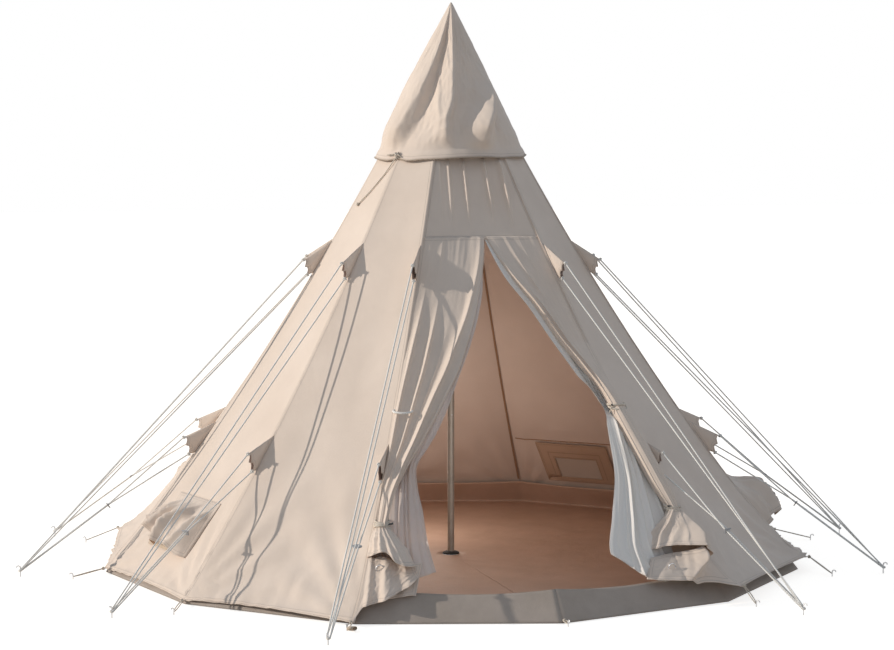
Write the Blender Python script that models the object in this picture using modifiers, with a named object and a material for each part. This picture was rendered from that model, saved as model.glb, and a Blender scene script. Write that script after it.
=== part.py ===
"""Twelve-sided canvas pyramid tent on one centre pole, pitched with its door flaps tied back.

Metres, +Z up. The origin is on the ground under the centre pole. The door faces -Y.
Corners are numbered round the base from the middle of the door sill, 0, towards -X.
"""

import math

import bmesh
import bpy
from mathutils import Matrix, Vector

# Overall form
SIDES = 12
HEM_RADIUS = 2.0
CROWN_HEIGHT = 2.95
CROWN_RADIUS = 0.055
FLARE_SHARE = 0.19
FLARE_POWER = 2.5
SOLID_GAP = 0.0003

# Canvas walls
CANVAS_THICKNESS = 0.004
SEAM_GAP = 0.0004
HEM_LIFT = 0.02
WALL_BANDS_ABOVE_WINDOW = 6
LINTEL_HEIGHT = 1.85

# Windows, low in four of the walls
WINDOW_WALLS = (2, 4, 7, 9)
WINDOW_SILL_HEIGHT = 0.2
WINDOW_HEAD_HEIGHT = 0.44
WINDOW_WIDTH = 0.46
WINDOW_MARGIN = 0.04
NET_THICKNESS = 0.0015

# Hoods over the windows, loose along their lower hem
HOOD_OVERLAP = 0.02
HOOD_BULGE = 0.105
HOOD_CROWN_SHARE = 0.75
HOOD_HEM_LIFT = 0.012
HOOD_THICKNESS = 0.004
HOOD_STANDOFF = 0.0008
HOOD_COLUMNS = 12
HOOD_ROWS = 8

# Guy tabs, two on each corner seam except the one in the doorway
UPPER_TAB_HEIGHT = 1.814
LOWER_TAB_HEIGHT = 0.816
TAB_LENGTH = 0.235
TAB_OUTER_DROP = 0.175
UPPER_TAB_REACH = 0.085
LOWER_TAB_REACH = 0.1
TAB_INNER_REACH = 0.022
TAB_NOTCH = 0.03
TAB_THICKNESS = 0.003
TAB_ROOT = 0.003

# Guy lines and pegs
GUY_PEG_RADIUS = 2.45
ROPE_DIAMETER = 0.008
ROPE_HEIGHT_AT_PEG = 0.032
ROPE_STACK = 0.004
PEG_WIRE_RADIUS = 0.004
PEG_NECK_HEIGHT = 0.05
PEG_HOOK_RADIUS = 0.011
PEG_CLEARANCE = 0.0005
SLIDER_CORNERS = (2, 3, 10, 11)
SLIDER_SHARE = 0.46
SLIDER_LENGTH = 0.05
SLIDER_WIDTH = 0.03
SLIDER_THICKNESS = 0.006
SLIDER_CLEARANCE = 0.0009

# Doorway curtains
FLAP_THICKNESS = 0.004
FLAP_COLUMNS = 26
FLAP_FOLDS = 4
FLAP_FOLD_DEPTH = 0.036
FLAP_HEM_HEIGHT = 0.03
FLAP_ROWS = 15
NET_DOOR_COLUMNS = 16
NET_DOOR_FOLDS = 3
NET_DOOR_FOLD_DEPTH = 0.03
NET_DOOR_ROWS = 10
NET_DOOR_INSET = 0.012
NET_DOOR_THICKNESS = 0.003
DOOR_MIDDLE_GAP = 0.004

# Each curtain narrows to its ties: (height, share of the half doorway it still covers)
LEFT_FLAP_GATHER = ((0.0, 0.34), (0.31, 0.33), (0.47, 0.2), (0.69, 0.26), (0.93, 0.335), (1.21, 0.5), (1.4, 0.63), (1.85, 1.0))
RIGHT_FLAP_GATHER = ((0.0, 0.43), (0.24, 0.39), (0.46, 0.15), (0.7, 0.155), (1.0, 0.16), (1.4, 0.38), (1.85, 1.0))
LEFT_NET_GATHER = ((0.0, 0.44), (0.27, 0.43), (0.6, 0.3), (1.0, 0.32), (1.4, 0.55), (1.85, 0.98))
RIGHT_NET_GATHER = ((0.0, 0.62), (0.2, 0.61), (0.46, 0.51), (1.0, 0.18), (1.4, 0.36), (1.85, 0.98))

# Groundsheet with raised walls
SHEET_THICKNESS = 0.004
SHEET_WALL_HEIGHT = 0.15
SHEET_CLEARANCE = 0.003

# Centre pole in socketed sections with snap buttons
POLE_SECTIONS = 4
POLE_OUTER_RADIUS = 0.019
POLE_WALL = 0.0016
SPIGOT_LENGTH = 0.08
SPIGOT_CLEARANCE = 0.0004
POLE_SEGMENTS = 20
FOOT_RADIUS = 0.048
FOOT_THICKNESS = 0.014
FOOT_PLUG_LENGTH = 0.03
NOSE_LENGTH = 0.09
NOSE_TIP_RADIUS = 0.006
BUTTON_RADIUS = 0.0045
BUTTON_CLEARANCE = 0.0003
BUTTON_PROUD = 0.004
BUTTON_LENGTH = 0.009
BUTTON_ABOVE_JOINT = 0.035

# Crown and cowl
CROWN_BAND_HEIGHT = 0.05
CROWN_BAND_OVERHANG = 0.004
COWL_TOP_HEIGHT = 3.136
COWL_TOP_RADIUS = 0.012
COWL_HEM_HEIGHT = 2.278
COWL_EASE = 0.01
COWL_THICKNESS = 0.004
COWL_COLUMNS = 48
COWL_ROWS = 8
COWL_FOLD_DEPTH = 0.03
COWL_TIE_CORNERS = (2, 6, 10)
COWL_HEM_SCALLOP = 0.012

STEP = 2 * math.pi / SIDES
DOOR_CORNERS = (1, SIDES - 1)

parts = bpy.data.collections.new("pyramid_tent")
cutters = bpy.data.collections.new("cutters")


def clear_scene():
    for old in list(bpy.data.objects):
        bpy.data.objects.remove(old, do_unlink=True)
    bpy.context.scene.collection.children.link(parts)
    bpy.context.scene.collection.children.link(cutters)


def material(name, color, roughness, metallic=0.0):
    made = bpy.data.materials.new(name)
    made.use_nodes = True
    shader = made.node_tree.nodes["Principled BSDF"]
    shader.inputs["Base Color"].default_value = (*color, 1.0)
    shader.inputs["Roughness"].default_value = roughness
    shader.inputs["Metallic"].default_value = metallic
    made.diffuse_color = (*color, 1.0)
    return made


def mesh_object(name, mesh, coating, group=parts, smooth=False):
    made = bpy.data.objects.new(name, mesh)
    group.objects.link(made)
    mesh.materials.clear()
    mesh.materials.append(coating)
    if smooth:
        mesh.shade_smooth()
        mesh.set_sharp_from_angle(angle=math.radians(35))
    return made


def as_cutter(made):
    made.hide_render = True
    made.display_type = "WIRE"
    return made


def add_boolean(target, other, operation):
    step = target.modifiers.new(operation.lower(), "BOOLEAN")
    step.operation = operation
    step.object = other
    step.solver = "EXACT"


def smooth_step(share):
    return share * share * (3 - 2 * share)


def keyed(pairs, height):
    """The value at this height, eased between the pairs (height, value)."""
    if height <= pairs[0][0]:
        return pairs[0][1]
    for (low, first), (high, second) in zip(pairs, pairs[1:]):
        if height <= high:
            return first + (second - first) * smooth_step((height - low) / (high - low))
    return pairs[-1][1]


# Places on the pyramid

def radial(corner):
    angle = corner * STEP
    return Vector((-math.sin(angle), -math.cos(angle), 0))


def tangent(corner):
    angle = corner * STEP
    return Vector((-math.cos(angle), math.sin(angle), 0))


def wall_radius(height):
    """Corner radius of the canvas, which flares towards the hem."""
    drop = (CROWN_HEIGHT - height) / CROWN_HEIGHT
    share = (1 - FLARE_SHARE) * drop + FLARE_SHARE * drop**FLARE_POWER
    return CROWN_RADIUS + (HEM_RADIUS - CROWN_RADIUS) * share


def seam_point(corner, height, inset=0.0, sideways=0.0):
    place = radial(corner) * (wall_radius(height) - inset) + tangent(corner) * sideways
    return place + Vector((0, 0, height))


def wall_heights():
    low = WINDOW_SILL_HEIGHT - WINDOW_MARGIN
    high = WINDOW_HEAD_HEIGHT + WINDOW_MARGIN
    rise = (CROWN_HEIGHT - high) / WALL_BANDS_ABOVE_WINDOW
    above = [high + rise * band for band in range(WALL_BANDS_ABOVE_WINDOW + 1)]
    return [HEM_LIFT, low] + above


def lintel_heights():
    return [LINTEL_HEIGHT] + [height for height in wall_heights() if height > LINTEL_HEIGHT + WINDOW_MARGIN]


# Lofted shapes

def finish_mesh(name, builder):
    bmesh.ops.recalc_face_normals(builder, faces=builder.faces)
    mesh = bpy.data.meshes.new(name)
    builder.to_mesh(mesh)
    builder.free()
    return mesh


def ribbon_mesh(name, rows):
    """A sheet with two sides, from rows of (outer, inner) pairs of points."""
    builder = bmesh.new()
    grid = [[(builder.verts.new(outer), builder.verts.new(inner)) for outer, inner in row] for row in rows]
    columns = len(grid[0])
    for upper, lower in zip(grid, grid[1:]):
        for left in range(columns - 1):
            right = left + 1
            builder.faces.new((upper[left][0], upper[right][0], lower[right][0], lower[left][0]))
            builder.faces.new((upper[left][1], lower[left][1], lower[right][1], upper[right][1]))
        for end in (0, columns - 1):
            builder.faces.new((upper[end][0], lower[end][0], lower[end][1], upper[end][1]))
    for row in (grid[0], grid[-1]):
        for left in range(columns - 1):
            right = left + 1
            builder.faces.new((row[left][0], row[right][0], row[right][1], row[left][1]))
    return finish_mesh(name, builder)


def ring_mesh(name, rings):
    """A closed skin through rings of points, capped at the first and the last ring."""
    builder = bmesh.new()
    loops = [[builder.verts.new(point) for point in ring] for ring in rings]
    count = len(loops[0])
    for first, second in zip(loops, loops[1:]):
        for place in range(count):
            after = (place + 1) % count
            builder.faces.new((first[place], first[after], second[after], second[place]))
    builder.faces.new(loops[0])
    builder.faces.new(loops[-1])
    return finish_mesh(name, builder)


def turned_object(name, profile, coating, segments=POLE_SEGMENTS):
    """A turned piece from a closed outline of (radius, height) points, outer side first, top to bottom."""
    builder = bmesh.new()
    points = [builder.verts.new((radius, 0, height)) for radius, height in profile]
    closed = profile[0][0] > 0
    pairs = list(zip(points, points[1:]))
    if closed:
        pairs.append((points[-1], points[0]))
    for first, second in pairs:
        builder.edges.new((first, second))
    mesh = bpy.data.meshes.new(name)
    builder.to_mesh(mesh)
    builder.free()
    made = mesh_object(name, mesh, coating)
    turn = made.modifiers.new("turn", "SCREW")
    turn.axis = "Z"
    turn.steps = segments
    turn.render_steps = segments
    turn.use_merge_vertices = True
    turn.merge_threshold = 0.00001
    turn.use_smooth_shade = True
    return made


def curve_to_mesh(curve):
    holder = bpy.data.objects.new("curve_holder", curve)
    parts.objects.link(holder)
    bpy.context.view_layer.update()
    graph = bpy.context.evaluated_depsgraph_get()
    mesh = bpy.data.meshes.new_from_object(holder.evaluated_get(graph))
    bpy.data.objects.remove(holder, do_unlink=True)
    builder = bmesh.new()
    builder.from_mesh(mesh)
    bmesh.ops.remove_doubles(builder, verts=builder.verts, dist=0.00001)
    bmesh.ops.recalc_face_normals(builder, faces=builder.faces)
    builder.to_mesh(mesh)
    builder.free()
    return mesh


def tube_mesh(route, radius):
    """A round tube along a route of points."""
    curve = bpy.data.curves.new("tube", "CURVE")
    curve.dimensions = "3D"
    curve.bevel_depth = radius
    curve.bevel_resolution = 2
    curve.use_fill_caps = True
    spline = curve.splines.new("POLY")
    spline.points.add(len(route) - 1)
    for point, place in zip(spline.points, route):
        point.co = (*place, 1)
    return curve_to_mesh(curve)


# Canvas walls, tabs and windows

def window_frame(wall):
    """Place of a window: its axes run along the wall, up its slope and out of it."""
    low = WINDOW_SILL_HEIGHT - WINDOW_MARGIN
    high = WINDOW_HEAD_HEIGHT + WINDOW_MARGIN
    across = (seam_point(wall + 1, low) - seam_point(wall, low)).normalized()
    lower_middle = (seam_point(wall, low) + seam_point(wall + 1, low)) / 2
    upper_middle = (seam_point(wall, high) + seam_point(wall + 1, high)) / 2
    up_slope = (upper_middle - lower_middle).normalized()
    outward = across.cross(up_slope)
    if outward.dot(radial(wall + 0.5)) < 0:
        outward.negate()
    middle_height = (WINDOW_SILL_HEIGHT + WINDOW_HEAD_HEIGHT) / 2
    centre = lower_middle + (upper_middle - lower_middle) * (middle_height - low) / (high - low)
    rise = (WINDOW_HEAD_HEIGHT - WINDOW_SILL_HEIGHT) / up_slope.z
    along = up_slope.cross(outward)
    turn = Matrix((along, up_slope, outward)).transposed().to_4x4()
    return centre, turn, rise


def box_mesh(name, size):
    builder = bmesh.new()
    bmesh.ops.create_cube(builder, size=1)
    bmesh.ops.scale(builder, vec=size, verts=builder.verts)
    return finish_mesh(name, builder)


def tab_axes(corner, top_height):
    """The tab's top point, its direction down the seam and its direction out of the seam."""
    apex = seam_point(corner, top_height)
    down = (seam_point(corner, top_height - TAB_LENGTH) - apex).normalized()
    out = tangent(corner).cross(down)
    if out.dot(radial(corner)) < 0:
        out.negate()
    return apex, down, out


def tab_shift(corner, side):
    return tangent(corner) * side * (SEAM_GAP / 2 + TAB_THICKNESS / 2)


def wall_tab(corner, top_height, reach, side, coating):
    """A pointed canvas tab that stands out of a seam, with a guy line on each of its two lower corners."""
    apex, down, out = tab_axes(corner, top_height)
    outline = [
        (-TAB_ROOT, -TAB_ROOT),
        (TAB_OUTER_DROP, reach),
        (TAB_OUTER_DROP - TAB_NOTCH * 0.3, reach * 0.62),
        (TAB_OUTER_DROP + TAB_NOTCH * 0.4, reach * 0.42),
        (TAB_LENGTH, TAB_INNER_REACH),
        (TAB_LENGTH - TAB_NOTCH, -TAB_ROOT),
    ]
    curve = bpy.data.curves.new("tab", "CURVE")
    curve.dimensions = "2D"
    curve.fill_mode = "BOTH"
    curve.extrude = TAB_THICKNESS / 2
    spline = curve.splines.new("POLY")
    spline.points.add(len(outline) - 1)
    for point, (along, away) in zip(spline.points, outline):
        point.co = (along, away, 0, 1)
    spline.use_cyclic_u = True
    made = mesh_object(f"tab_cloth_{corner}_{round(top_height * 1000)}", curve_to_mesh(curve), coating, cutters)
    turn = Matrix((down, out, down.cross(out))).transposed().to_4x4()
    made.matrix_world = Matrix.Translation(apex + tab_shift(corner, side)) @ turn
    return as_cutter(made)


def tab_corners(corner, top_height, reach):
    """The tab's outer and inner lower corners, where its two guy lines start."""
    apex, down, out = tab_axes(corner, top_height)
    apex = apex + tab_shift(corner, 1 if corner == 1 else -1)
    outer = apex + down * TAB_OUTER_DROP + out * reach
    inner = apex + down * TAB_LENGTH + out * TAB_INNER_REACH
    return outer, inner


def make_wall(wall, canvas):
    rows = []
    for height in reversed(wall_heights()):
        row = []
        for corner, sideways in ((wall, SEAM_GAP / 2), (wall + 1, -SEAM_GAP / 2)):
            outer = seam_point(corner, height, 0, sideways)
            inner = seam_point(corner, height, CANVAS_THICKNESS, sideways)
            row.append((outer, inner))
        rows.append(row)
    made = mesh_object(f"wall_panel_{wall:02d}", ribbon_mesh("wall", rows), canvas)
    tabs = [(wall + 1, -1)]
    if wall == 1:
        tabs.append((wall, 1))
    for corner, side in tabs:
        for height, reach in ((UPPER_TAB_HEIGHT, UPPER_TAB_REACH), (LOWER_TAB_HEIGHT, LOWER_TAB_REACH)):
            add_boolean(made, wall_tab(corner, height, reach, side, canvas), "UNION")
    return made


def hood_rows(width, drop):
    """Rows of a domed hood that hangs from its top edge, in the axes of its window."""
    rows = []
    for row in range(HOOD_ROWS + 1):
        down = row / HOOD_ROWS
        crown = HOOD_BULGE * math.sin(math.pi * down**HOOD_CROWN_SHARE) + HOOD_HEM_LIFT * down**2
        line = []
        for column in range(HOOD_COLUMNS + 1):
            side = 2 * column / HOOD_COLUMNS - 1
            lift = crown * (1 - abs(side) ** 3)
            place = Vector((side * width / 2, -down * drop, lift))
            skin = Vector((0, 0, HOOD_THICKNESS / 2))
            line.append((place + skin, place - skin))
        rows.append(line)
    return rows


def make_window(number, wall, panel, net, canvas):
    centre, turn, rise = window_frame(wall)
    place = Matrix.Translation(centre) @ turn
    opening = mesh_object(
        f"window_opening_{number}", box_mesh("opening", (WINDOW_WIDTH, rise, 0.05)), canvas, cutters
    )
    opening.matrix_world = place
    add_boolean(panel, as_cutter(opening), "DIFFERENCE")
    trim = 2 * SOLID_GAP
    sheet = mesh_object(
        f"window_net_{number}", box_mesh("net", (WINDOW_WIDTH - trim, rise - trim, NET_THICKNESS)), net
    )
    sheet.matrix_world = place @ Matrix.Translation((0, 0, -CANVAS_THICKNESS / 2))
    hinge = bpy.data.objects.new(f"window_hinge_{number}", None)
    parts.objects.link(hinge)
    head = rise / 2 + HOOD_OVERLAP
    hinge.matrix_world = place @ Matrix.Translation((0, head, HOOD_STANDOFF + HOOD_THICKNESS / 2))
    rows = hood_rows(WINDOW_WIDTH + 2 * HOOD_OVERLAP, rise + 2 * HOOD_OVERLAP)
    hood = mesh_object(f"window_hood_{number}", ribbon_mesh("hood", rows), canvas, smooth=True)
    hood.parent = hinge


def make_lintel(canvas):
    rows = []
    for height in reversed(lintel_heights()):
        row = []
        for corner, sideways in ((-1, SEAM_GAP / 2), (1, -SEAM_GAP / 2)):
            outer = seam_point(corner, height, 0, sideways)
            inner = seam_point(corner, height, CANVAS_THICKNESS, sideways)
            row.append((outer, inner))
        rows.append(row)
    return mesh_object("door_lintel_panel", ribbon_mesh("lintel", rows), canvas)


# Doorway curtains

def door_middle(height, inset=0.0):
    """The line down the middle of the doorway, from the lintel to the front corner of the base."""
    top_radius = wall_radius(LINTEL_HEIGHT) * math.cos(STEP)
    radius = HEM_RADIUS + (top_radius - HEM_RADIUS) * height / LINTEL_HEIGHT
    return Vector((0, -(radius - inset), height))


def curtain_rows(side, gather, columns, folds, depth, low, high, count, thickness, inset, outward_folds):
    """Rows of a folded curtain that hangs from the lintel beside one door seam."""
    rows = []
    for step in range(count):
        height = high + (low - high) * step / (count - 1)
        start = seam_point(side, height, inset, -side * SEAM_GAP / 2)
        middle = door_middle(height, inset) + Vector((-side * DOOR_MIDDLE_GAP / 2, 0, 0))
        across = middle - start
        facing = Vector((across.y, -across.x, 0)).normalized()
        if facing.y > 0:
            facing.negate()
        cover = keyed(gather, height)
        fold = depth * smooth_step(min(1.0, (1 - cover) * 1.7)) * outward_folds
        centres = []
        for column in range(columns + 1):
            share = column / columns
            wave = (1 - math.cos(2 * math.pi * folds * share)) / 2
            centres.append(start + across * cover * share + facing * fold * wave)
        row = []
        for column, centre in enumerate(centres):
            before = centres[max(column - 1, 0)]
            after = centres[min(column + 1, columns)]
            run = (after - before).normalized()
            normal = Vector((run.y, -run.x, 0))
            if normal.dot(facing) < 0:
                normal.negate()
            if column == 0:
                normal = radial(side)
            row.append((centre + normal * thickness / 2, centre - normal * thickness / 2))
        rows.append(row)
    return rows


def make_flap(name, side, gather, canvas):
    rows = curtain_rows(
        side, gather, FLAP_COLUMNS, FLAP_FOLDS, FLAP_FOLD_DEPTH, FLAP_HEM_HEIGHT,
        LINTEL_HEIGHT - SOLID_GAP, FLAP_ROWS, FLAP_THICKNESS, FLAP_THICKNESS / 2, 1,
    )
    return mesh_object(name, ribbon_mesh(name, rows), canvas)


def make_net_door(name, side, gather, net):
    rows = curtain_rows(
        side, gather, NET_DOOR_COLUMNS, NET_DOOR_FOLDS, NET_DOOR_FOLD_DEPTH,
        SHEET_WALL_HEIGHT + SOLID_GAP, LINTEL_HEIGHT - SOLID_GAP, NET_DOOR_ROWS,
        NET_DOOR_THICKNESS, NET_DOOR_INSET, -1,
    )
    return mesh_object(name, ribbon_mesh(name, rows), net)


# Groundsheet

def make_groundsheet(cloth):
    inset = CANVAS_THICKNESS + SHEET_CLEARANCE

    def ring(height, depth):
        return [
            radial(corner) * (wall_radius(height) - depth) + Vector((0, 0, height)) for corner in range(SIDES)
        ]

    top = SHEET_WALL_HEIGHT
    rings = [
        [Vector((p.x, p.y, 0)) for p in ring(0, inset)],
        ring(top, inset),
        ring(top, inset + SHEET_THICKNESS),
        ring(SHEET_THICKNESS, inset + SHEET_THICKNESS),
    ]
    return mesh_object("groundsheet", ring_mesh("groundsheet", rings), cloth)


# Centre pole

def pole_base():
    return SHEET_THICKNESS + SOLID_GAP + FOOT_THICKNESS + SOLID_GAP


def pole_top():
    return COWL_TOP_HEIGHT - COWL_THICKNESS - SOLID_GAP


def section_length():
    return (pole_top() - NOSE_LENGTH - pole_base()) / POLE_SECTIONS


def joint_height(number):
    """Height of the joint above section number, counted from 1 at the bottom."""
    return pole_base() + section_length() * number


def make_foot(rubber):
    low = SHEET_THICKNESS + SOLID_GAP
    plug = POLE_OUTER_RADIUS - POLE_WALL - SPIGOT_CLEARANCE
    top = low + FOOT_THICKNESS
    profile = [
        (0, top + FOOT_PLUG_LENGTH),
        (plug, top + FOOT_PLUG_LENGTH),
        (plug, top),
        (FOOT_RADIUS * 0.72, top),
        (FOOT_RADIUS, top - FOOT_THICKNESS * 0.5),
        (FOOT_RADIUS, low),
        (0, low),
    ]
    return turned_object("pole_foot", profile, rubber, 28)


def make_pole(metal, button_metal):
    bore = POLE_OUTER_RADIUS - POLE_WALL
    spigot = bore - SPIGOT_CLEARANCE
    spigot_bore = spigot - POLE_WALL
    for number in range(1, POLE_SECTIONS + 1):
        low = joint_height(number - 1) + (SOLID_GAP if number > 1 else 0)
        high = joint_height(number)
        if number < POLE_SECTIONS:
            profile = [
                (spigot, high + SPIGOT_LENGTH),
                (spigot, high),
                (POLE_OUTER_RADIUS, high),
                (POLE_OUTER_RADIUS, low),
                (bore, low),
                (bore, high - SPIGOT_LENGTH / 2),
                (spigot_bore, high),
                (spigot_bore, high + SPIGOT_LENGTH),
            ]
        else:
            profile = [
                (NOSE_TIP_RADIUS, high + NOSE_LENGTH),
                (POLE_OUTER_RADIUS, high),
                (POLE_OUTER_RADIUS, low),
                (bore, low),
                (bore, low + SPIGOT_LENGTH + POLE_WALL),
                (NOSE_TIP_RADIUS / 2, low + SPIGOT_LENGTH + POLE_WALL),
                (NOSE_TIP_RADIUS / 2, high + NOSE_LENGTH),
            ]
        section = turned_object(f"pole_section_{number}", profile, metal)
        for below in (number, number - 1):
            if 1 <= below < POLE_SECTIONS:
                add_boolean(section, button_hole(below, number, button_metal), "DIFFERENCE")
    for number in range(1, POLE_SECTIONS):
        make_button(number, button_metal)


def button_height(number):
    return joint_height(number) + BUTTON_ABOVE_JOINT


def button_hole(number, section, metal):
    builder = bmesh.new()
    bmesh.ops.create_cone(
        builder, cap_ends=True, segments=16, radius1=BUTTON_RADIUS + BUTTON_CLEARANCE,
        radius2=BUTTON_RADIUS + BUTTON_CLEARANCE, depth=POLE_OUTER_RADIUS,
    )
    hole = mesh_object(f"button_hole_{number}_{section}", finish_mesh("hole", builder), metal, cutters)
    hole.rotation_euler = (math.pi / 2, 0, 0)
    hole.location = (0, -POLE_OUTER_RADIUS * 0.9, button_height(number))
    return as_cutter(hole)


def make_button(number, metal):
    """A sprung button that locks two pole sections, standing out of the pole towards the door."""
    profile = [
        (0, BUTTON_PROUD),
        (BUTTON_RADIUS * 0.7, BUTTON_PROUD * 0.85),
        (BUTTON_RADIUS, BUTTON_PROUD * 0.35),
        (BUTTON_RADIUS, BUTTON_PROUD - BUTTON_LENGTH),
        (0, BUTTON_PROUD - BUTTON_LENGTH),
    ]
    button = turned_object(f"pole_button_{number}", profile, metal, 16)
    button.rotation_euler = (math.pi / 2, 0, 0)
    button.location = (0, -POLE_OUTER_RADIUS, button_height(number))


# Crown and cowl

def make_crown(leather):
    bore = POLE_OUTER_RADIUS + SOLID_GAP
    low = CROWN_HEIGHT + SOLID_GAP
    high = low + CROWN_BAND_HEIGHT
    top_radius = POLE_OUTER_RADIUS + (CROWN_RADIUS - POLE_OUTER_RADIUS) * 0.45
    profile = [
        (top_radius, high),
        (CROWN_RADIUS + CROWN_BAND_OVERHANG, low),
        (bore, low),
        (bore, high),
    ]
    return turned_object("crown_collar", profile, leather, 24)


def cowl_radius(height):
    drop = (COWL_TOP_HEIGHT - height) / (COWL_TOP_HEIGHT - COWL_HEM_HEIGHT)
    hem = wall_radius(COWL_HEM_HEIGHT) + COWL_EASE
    return COWL_TOP_RADIUS + (hem - COWL_TOP_RADIUS) * drop


def cowl_ring(drop, inset):
    """One ring of the cowl: cloth bulges between its tie corners and is drawn in at them."""
    ring = []
    for column in range(COWL_COLUMNS):
        corner = column * SIDES / COWL_COLUMNS
        spread = SIDES / len(COWL_TIE_CORNERS)
        phase = 2 * math.pi * (corner - COWL_TIE_CORNERS[0]) / spread
        between_ties = (1 - math.cos(phase)) / 2
        rise = COWL_HEM_SCALLOP * between_ties * drop
        height = COWL_TOP_HEIGHT + (COWL_HEM_HEIGHT - COWL_TOP_HEIGHT) * drop + rise
        height -= inset * (1 - drop)
        pleat = (1 - math.cos(3 * phase)) / 2
        fold = COWL_FOLD_DEPTH * drop * (1 - drop) * 2.4 * pleat * (0.35 + 0.65 * between_ties)
        radius = cowl_radius(height) + fold - inset * min(1.0, drop * COWL_ROWS)
        radius = max(radius, COWL_TOP_RADIUS / 2)
        ring.append(radial(corner) * radius + Vector((0, 0, height)))
    return ring


def make_cowl(canvas):
    drops = [row / COWL_ROWS for row in range(COWL_ROWS + 1)]
    outer = [cowl_ring(drop, 0) for drop in drops]
    inner = [cowl_ring(drop, COWL_THICKNESS) for drop in reversed(drops)]
    return mesh_object("cowl", ring_mesh("cowl", outer + inner), canvas)


# Guy lines, pegs and sliders

def peg_place(corner):
    return radial(corner) * GUY_PEG_RADIUS


def rope_turn(corner, height):
    """The rope's half turn round the far side of a peg."""
    reach = PEG_WIRE_RADIUS + PEG_CLEARANCE + ROPE_DIAMETER / 2
    centre = peg_place(corner) + Vector((0, 0, height))
    points = []
    for share in (0, 0.25, 0.5, 0.75, 1):
        angle = math.pi * share
        points.append(centre + tangent(corner) * reach * math.cos(angle) + radial(corner) * reach * math.sin(angle))
    return points


def slider_place(corner):
    """The slider's middle, and the unit direction from it down the line to the peg."""
    outer, inner = tab_corners(corner, LOWER_TAB_HEIGHT, LOWER_TAB_REACH)
    target = peg_place(corner) + Vector((0, 0, ROPE_HEIGHT_AT_PEG))
    start = (outer + inner) / 2
    place = start + (target - start) * SLIDER_SHARE
    place = place - tangent(corner) * place.dot(tangent(corner))
    return place, (target - place).normalized()


def rope_end(corner_point, towards):
    return corner_point + (towards - corner_point).normalized() * SOLID_GAP


def rope_routes(corner):
    reach = PEG_WIRE_RADIUS + PEG_CLEARANCE + ROPE_DIAMETER / 2
    upper_outer, upper_inner = tab_corners(corner, UPPER_TAB_HEIGHT, UPPER_TAB_REACH)
    turn = rope_turn(corner, ROPE_HEIGHT_AT_PEG + ROPE_STACK)
    upper = [rope_end(upper_outer, turn[0])] + turn + [rope_end(upper_inner, turn[-1])]
    lower_outer, lower_inner = tab_corners(corner, LOWER_TAB_HEIGHT, LOWER_TAB_REACH)
    place, _ = slider_place(corner)
    first = place + tangent(corner) * reach
    second = place - tangent(corner) * reach
    turn = rope_turn(corner, ROPE_HEIGHT_AT_PEG)
    lower = [rope_end(lower_outer, first), first] + turn + [second, rope_end(lower_inner, second)]
    return upper, lower


def make_rope(corner, hemp):
    name = f"guy_rope_{corner:02d}"
    upper, lower = rope_routes(corner)
    rope = mesh_object(name, tube_mesh(upper, ROPE_DIAMETER / 2), hemp, smooth=True)
    other = as_cutter(mesh_object(f"{name}_lower", tube_mesh(lower, ROPE_DIAMETER / 2), hemp, cutters))
    add_boolean(rope, other, "UNION")


def make_peg(corner, steel):
    """The part of a wire peg that shows above the ground, with its hook turned away from the tent."""
    foot = peg_place(corner)
    top = foot + Vector((0, 0, PEG_NECK_HEIGHT))
    route = [foot, top]
    for share in (0.25, 0.5, 0.75, 1):
        angle = math.pi * share
        out = radial(corner) * PEG_HOOK_RADIUS * (1 - math.cos(angle))
        route.append(top + out + Vector((0, 0, PEG_HOOK_RADIUS * math.sin(angle))))
    mesh_object(f"guy_peg_{corner:02d}", tube_mesh(route, PEG_WIRE_RADIUS), steel, smooth=True)


def make_slider(number, corner, plastic):
    """A runner that slides along both strands of a lower guy line."""
    place, along = slider_place(corner)
    place = place + along * 2 * ROPE_DIAMETER
    side = tangent(corner)
    up = along.cross(side)
    reach = PEG_WIRE_RADIUS + PEG_CLEARANCE + ROPE_DIAMETER / 2
    outline = [
        (-SLIDER_LENGTH / 2, -SLIDER_WIDTH * 0.3),
        (SLIDER_LENGTH / 2, -SLIDER_WIDTH * 0.3),
        (SLIDER_LENGTH * 0.16, SLIDER_WIDTH * 0.7),
        (-SLIDER_LENGTH * 0.16, SLIDER_WIDTH * 0.7),
    ]
    builder = bmesh.new()
    base = [builder.verts.new((x, y, 0)) for x, y in outline]
    face = builder.faces.new(base)
    grown = bmesh.ops.extrude_face_region(builder, geom=[face])
    moved = [item for item in grown["geom"] if isinstance(item, bmesh.types.BMVert)]
    bmesh.ops.translate(builder, vec=(0, 0, SLIDER_THICKNESS), verts=moved)
    slider = mesh_object(f"guy_slider_{number}", finish_mesh("slider", builder), plastic)
    turn = Matrix((side, up, along)).transposed().to_4x4()
    slider.matrix_world = Matrix.Translation(place) @ turn
    for hand in (-1, 1):
        drill = bmesh.new()
        bmesh.ops.create_cone(
            drill, cap_ends=True, segments=12, radius1=ROPE_DIAMETER / 2 + SLIDER_CLEARANCE,
            radius2=ROPE_DIAMETER / 2 + SLIDER_CLEARANCE, depth=SLIDER_THICKNESS * 6,
        )
        hole = mesh_object(f"slider_hole_{number}_{hand + 1}", finish_mesh("drill", drill), plastic, cutters)
        hole.matrix_world = Matrix.Translation(place + side * reach * hand) @ turn
        add_boolean(slider, as_cutter(hole), "DIFFERENCE")


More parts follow.
